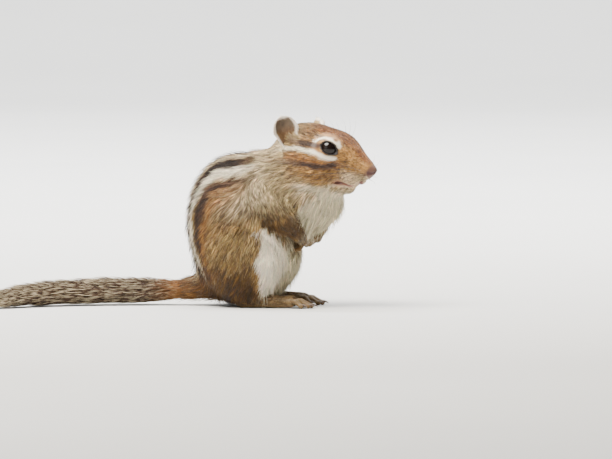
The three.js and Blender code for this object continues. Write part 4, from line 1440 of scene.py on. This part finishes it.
# %% Bend each tuft to the body
lift = np.radians(14 + 8 * chance.random(len(roots))) + np.radians(8) * guard
lift += np.radians(6) * smooth_step(2.2, 1.0, length)
front = zone_share(root_weights, "chest", "belly") * smooth_step(-2, 8, roots[:, 0])
height = length * (0.08 + 0.16 * chance.random(len(roots)) + 0.1 * front + 0.18 * guard)
straight_tip = roots + leaving(normals, lie, lift) * length[:, None]
tip_height = np.empty(len(roots))
for chunk in np.array_split(np.argsort(roots[:, 2]), CHUNKS):
    tip_height[chunk] = field(straight_tip[chunk])
bend = np.clip(tip_height - height, -0.45 * length, 0.5 * length)

# %% Tone of the body's tufts
tone = bare_colour(roots, coat_colour(roots, root_weights))
pale = smooth_step(0.42, 0.62, tone.mean(1))
lock_draw = chance.normal(0, 1, len(roots))[leader]
roll = 0.5 * chance.random(len(roots)) + 0.5 * chance.random(len(roots))[leader]
furred = zone_share(root_weights, "head", "face", "arm", "foot", *LONG_ZONES)
dark_tip = smooth_step(0.46, 0.36, roll) * (1 - pale) * furred
light_tip = smooth_step(0.62, 0.72, roll) * furred * smooth_step(0.03, 0.1, tone.mean(1))
spread = 0.42 - 0.24 * pale
uneven = spread * (0.65 * lock_draw + 0.5 * chance.normal(0, 1, len(roots)))
tone = tone * np.exp(uneven[:, None] + chance.normal(0, 0.04, (len(roots), 3)))
deep = tone * (0.42 + 0.3 * pale)[:, None]
tip = tone * 1.15
tip = tip + (TINT["dark"] - tip) * (0.85 * dark_tip)[:, None]
tip = tip + (TINT["cream"] - tip) * (0.4 * light_tip)[:, None]
mid = tone + (TINT["dark"] - tone) * (0.6 * dark_tip)[:, None]
tones = np.stack([deep, mid, tip], 1)

# %% Plant the body's coat
ROOT_DEPTH = 0.25
TUFTS_IN_A_PIECE = 21000
PIECES = {
    "coat_head": ("head", "ear"),
    "coat_face": ("face", "nose", "foot", "arm"),
    "coat_neck_and_chest": ("neck", "chest"),
    "coat_back": ("back",),
    "coat_belly_and_rump": ("belly", "rump", "tail_root"),
    "coat_haunches": ("haunch",),
}
zone_table = np.stack([zone_share(root_weights, *names) for names in PIECES.values()], -1)
owner = zone_table.argmax(-1)
inset = roots - normals * ROOT_DEPTH
for number, name in enumerate(PIECES):
    mine = owner == number
    if not mine.any():
        continue
    parts = int(math.ceil(mine.sum() / TUFTS_IN_A_PIECE))
    for i, group in enumerate(np.array_split(np.flatnonzero(mine), parts)):
        piece = grow(
            f"{name}_{i + 1}",
            inset[group],
            normals[group],
            lie[group],
            length[group],
            width[group],
            lift[group],
            bend[group],
            tones[group],
            root_spots[group],
        )
        piece.data.materials.append(coat_material)
        print(piece.name, len(group))

# %% [markdown]
# ## Eyes
# The eye of a chipmunk is nearly all iris and pupil, so dark a brown that it reads as black, under a
# clear wet cornea. A ball that bulges a little in front, with a bright coat, catches the sky as one sharp
# light.

# %% Eyes


CORNEA_IOR = 1.376
EYE_FINISH = {
    "Roughness": 0.12,
    "IOR": CORNEA_IOR,
    "Specular_IOR_Level": 0.2,
    "Coat_Weight": 0.5,
    "Coat_Roughness": 0.02,
    "Coat_IOR": CORNEA_IOR,
}
# Specks of the iris are about a millimetre across.
iris = mottled_material("wet_dark_iris", "#070504", "#1d110b", 900.0, 3.0, **EYE_FINISH)


def eyeball(side, word):
    rings, around = 24, 36
    points = []
    out = HEAD_AXES @ mirrored(EYE_OUT, side)
    helper = unit(np.cross(out, (0, 0, 1)))
    other = np.cross(out, helper)
    centre = from_head(mirrored(EYE_AT, side))
    for r in range(rings + 1):
        polar = math.pi * r / rings
        bulge = EYE_RADIUS * (1 + 0.035 * math.exp(-((polar / 0.5) ** 2)))
        for a in range(around):
            turn = 2 * math.pi * a / around
            ring = helper * math.cos(turn) + other * math.sin(turn)
            points.append(centre + bulge * (out * math.cos(polar) + ring * math.sin(polar)))
    faces = []
    for r in range(rings):
        for a in range(around):
            b = (a + 1) % around
            faces.append((r * around + a, (r + 1) * around + a, (r + 1) * around + b, r * around + b))
    ball = mesh_object(f"eyeball_{word}", np.array(points), np.array(faces))
    ball.data.materials.append(iris)
    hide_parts(f"eye_{word}")
    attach(ball, "root")


eyeball(RIGHT, "right")
eyeball(LEFT, "left")
print("eyes: 2")

# %% [markdown]
# ## Claws
# Claws are horn: dark, with paler streaks and a soft polish from use. Each is a tapered hook that grows
# out over the toe's pad and curves down.

# %% Claws
# The horn's streaks are about half a millimetre apart.
horn = mottled_material("dark_horn", "#2b211c", "#6b5647", 2200.0, 2.0, Roughness=0.34, IOR=KERATIN_IOR)


def tapered(path, radii, sides=8):
    """Points and faces of a round, tapering rod along a path, closed at both ends."""
    path = np.asarray(path, dtype=float)
    ways = normalised(np.gradient(path, axis=0))
    guide = np.array([0.31, 0.53, 0.79])
    first = normalised(np.cross(ways, guide))
    second = np.cross(ways, first)
    angles = np.linspace(0, 2 * math.pi, sides, endpoint=False)
    rings = [
        p + r * (np.cos(angles)[:, None] * a + np.sin(angles)[:, None] * b)
        for p, r, a, b in zip(path, radii, first, second)
    ]
    points = np.vstack(rings)
    faces = []
    for r in range(len(path) - 1):
        for s in range(sides):
            t = (s + 1) % sides
            faces.append([r * sides + s, r * sides + t, (r + 1) * sides + t, (r + 1) * sides + s])
    faces.append(list(range(sides))[::-1])
    faces.append([(len(path) - 1) * sides + s for s in range(sides)])
    return points, faces


def join_rods(name, rods, sides=8):
    points, faces, offset = [], [], 0
    for path, radii in rods:
        p, f = tapered(path, radii, sides)
        points.append(p)
        faces += [np.array(face) + offset for face in f]
        offset += len(p)
    return mesh_object(name, np.vstack(points), faces)


claw_rods = []
for tip, way, down, reach, thick in claws:
    steps = np.linspace(0, 1, 6)
    path = []
    for t in steps:
        arch = down * 0.22 * math.sin(math.pi * t)
        path.append(tip + way * reach * (0.9 * t) - arch + down * 0.75 * t**2)
    path[0] = tip - way * 0.5
    path = np.array(path)
    path[:, 2] = np.maximum(path[:, 2], 0.12)
    claw_rods.append((path, thick * (1 - steps**1.5) + 0.04))
claw_piece = join_rods("claws", claw_rods)
claw_piece.data.materials.append(horn)
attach(claw_piece, "root")
print("claws:", len(claw_rods))

# %% [markdown]
# ## Whiskers
# Whiskers are the longest, stiffest hairs. They stand in rows on the pads beside the nose, sweep out and
# back, and taper to a fine point. Three more stand over each eye.

# %% Whiskers
whisker_rods = []
for side in (RIGHT, LEFT):
    for row in range(4):
        for column in range(5):
            base = np.array([25.2 - 1.7 * column - 0.4 * row, 0, 0.2 - 1.35 * row])
            base[1] = side * (3.4 + 0.65 * column)
            spot = set_on(face_only, from_head(base)[None], 3)[0]
            reach = 13 + 3.2 * column + chance.uniform(-2, 2)
            out = np.array([0.15 - 0.2 * column, side * 1.0, 0.28 - 0.2 * row + chance.uniform(-0.1, 0.1)])
            way = HEAD_AXES @ unit(out)
            back = HEAD_AXES @ np.array([-1.0, 0, -0.25])
            t = np.linspace(0, 1, 9)
            path = spot + way * reach * t[:, None] + back * reach * 0.3 * (t**2)[:, None]
            path[0] = spot - way * 0.4
            whisker_rods.append((path, 0.085 * (1 - t) + 0.015))
    for i in range(3):
        above_eye = from_head(np.array([13.5 - 1.6 * i, side * 6.2, 12.2]))
        spot = set_on(face_only, above_eye[None], 3)[0]
        way = HEAD_AXES @ unit(np.array([0.25 - 0.3 * i, side * 0.5, 1.0]))
        t = np.linspace(0, 1, 8)
        path = spot + way * 8 * t[:, None] + HEAD_AXES @ np.array([-1.0, 0, 0]) * 3 * (t**2)[:, None]
        whisker_rods.append((path, 0.05 * (1 - t) + 0.012))
whiskers = join_rods("whiskers", whisker_rods, 4)
# A whisker's dark and pale stretches are about three millimetres long.
WHISKER_FINISH = {"Roughness": 0.35, "IOR": KERATIN_IOR}
whisker_hair = mottled_material("stiff_whisker_hair", "#17110e", "#5a4a3e", 300.0, 2.0, **WHISKER_FINISH)
whiskers.data.materials.append(whisker_hair)
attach(whiskers, "root")
print("whiskers:", len(whisker_rods))

# %% [markdown]
# ## Tail
# The tail is a thin core with long hair all round. Each tuft is banded: rusty at its root, then buff,
# then black, and cream at its tip on three tufts in four, so the whole brush looks grizzled. Hair leaves
# the core at a slant and bends back along it. Underneath, the floor presses it flat.

# %% Tail core
CORE_START = 28
CORE_SIDES = 16
MAP_EDGE = 0.02
MAP_SPAN = 0.96
core_line = tail_line[CORE_START:-4]
core_share = np.linspace(0, 1, len(core_line))
core_radius = np.interp(core_share, [0, 0.2, 0.7, 1], [3.6, 3.3, 2.5, 1.0])
core_rings = slice(None, None, 4)
core_points, core_faces = tapered(core_line[core_rings], core_radius[core_rings], CORE_SIDES)
tail_core = mesh_object("tail_core", core_points, [np.array(f) for f in core_faces])
tail_core.data.materials.append(skin_material)
lay_colour(tail_core.data, np.tile(TINT["tail"] * 0.5, (len(core_points), 1)))
tail_core.data.uv_layers.new(name=MAP)
core_map = np.zeros((len(tail_core.data.loops), 2), dtype=np.float32)
loop_vertex = np.empty(len(tail_core.data.loops), dtype=np.int32)
tail_core.data.loops.foreach_get("vertex_index", loop_vertex)
core_map[:, 0] = MAP_EDGE + MAP_SPAN * (loop_vertex // CORE_SIDES) / (len(core_points) / CORE_SIDES)
core_map[:, 1] = MAP_EDGE + MAP_SPAN * (loop_vertex % CORE_SIDES) / CORE_SIDES
tail_core.data.uv_layers[MAP].data.foreach_set("uv", core_map.ravel())
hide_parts("tail_brush")
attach(tail_core, "root")

# %% Tail hair
TAIL_HAIRS = 14600
TAIL_HAIR_LENGTH = 14.5
TAIL_SLANT = 38
TAIL_FLOOR = 0.0004
t = np.sort(chance.uniform(0, 1, TAIL_HAIRS) ** 0.9)
at = t * (len(core_line) - 1)
low_index = np.minimum(at.astype(int), len(core_line) - 2)
part = (at - low_index)[:, None]
centre_line = core_line[low_index] * (1 - part) + core_line[low_index + 1] * part
tangent = normalised(core_line[low_index + 1] - core_line[low_index])
level = normalised(np.cross((0, 0, 1.0), tangent))
above = np.cross(tangent, level)
turn = chance.uniform(0, 2 * math.pi, TAIL_HAIRS)
out = level * np.cos(turn)[:, None] + above * np.sin(turn)[:, None]
radius = np.interp(t, core_share, core_radius)
tail_roots = centre_line + out * (radius * 0.8)[:, None]
fullness = np.interp(t, [0, 0.12, 0.35, 0.85, 1], [0.55, 0.8, 1.0, 0.95, 0.8])
tail_length = TAIL_HAIR_LENGTH * fullness * chance.uniform(0.65, 1.12, TAIL_HAIRS)
down = np.maximum(0, -out[:, 2])
tail_lift = np.radians(TAIL_SLANT * (0.6 + 0.65 * chance.random(TAIL_HAIRS)) * (1 - 0.72 * down))
tail_lift *= np.interp(t, [0, 0.15, 1], [0.6, 1, 0.9])
clump = normalised(tangent + 0.10 * np.stack([wander(tail_roots, 9, 40 + i) for i in range(3)], -1))
tail_bands = np.empty((TAIL_HAIRS, 5, 3))
frost = np.interp(t, [0, 0.08, 0.2], [0.3, 0.8, 1.0])[:, None]
rusty = np.interp(t, [0, 0.06, 0.16], [0.9, 0.4, 0.1])[:, None]
black = TINT["dark"] * (1 - rusty) + TINT["rust"] * rusty
white_tip = TINT["cream"] * frost + TINT["ochre"] * (1 - frost)
vary = np.exp(chance.normal(0, 0.18, (TAIL_HAIRS, 1)))
tail_bands[:, 0] = TINT["rust"] * 0.55
tail_bands[:, 1] = TINT["tail"] * vary
tail_bands[:, 2] = black * vary
tail_bands[:, 3] = black * 0.9 * vary
plain = chance.random((TAIL_HAIRS, 1)) < 0.25
tail_bands[:, 4] = np.where(plain, black, white_tip)
core_spots = np.stack([MAP_EDGE + MAP_SPAN * t, MAP_EDGE + MAP_SPAN * turn / (2 * math.pi)], -1)
for i, group in enumerate(np.array_split(chance.permutation(TAIL_HAIRS), 2)):
    brush = grow(
        f"tail_hair_{i + 1}",
        tail_roots[group],
        out[group],
        clump[group],
        tail_length[group],
        0.24 + 0.018 * tail_length[group],
        tail_lift[group],
        0.5 * np.sin(tail_lift[group]) * tail_length[group],
        tail_bands[group],
        core_spots[group],
        sections=3,
    )
    co = np.empty(len(brush.data.vertices) * 3, dtype=np.float32)
    brush.data.vertices.foreach_get("co", co)
    co = co.reshape(-1, 3)
    sunk = (co[:, 2] - TAIL_FLOOR).clip(-0.004, 0)
    co[:, 2] = np.where(co[:, 2] < TAIL_FLOOR, TAIL_FLOOR - 0.25 * sunk, co[:, 2])
    brush.data.vertices.foreach_set("co", co.ravel())
    brush.data.update()
    brush.data.materials.append(tail_material)
print("tail hairs:", TAIL_HAIRS)
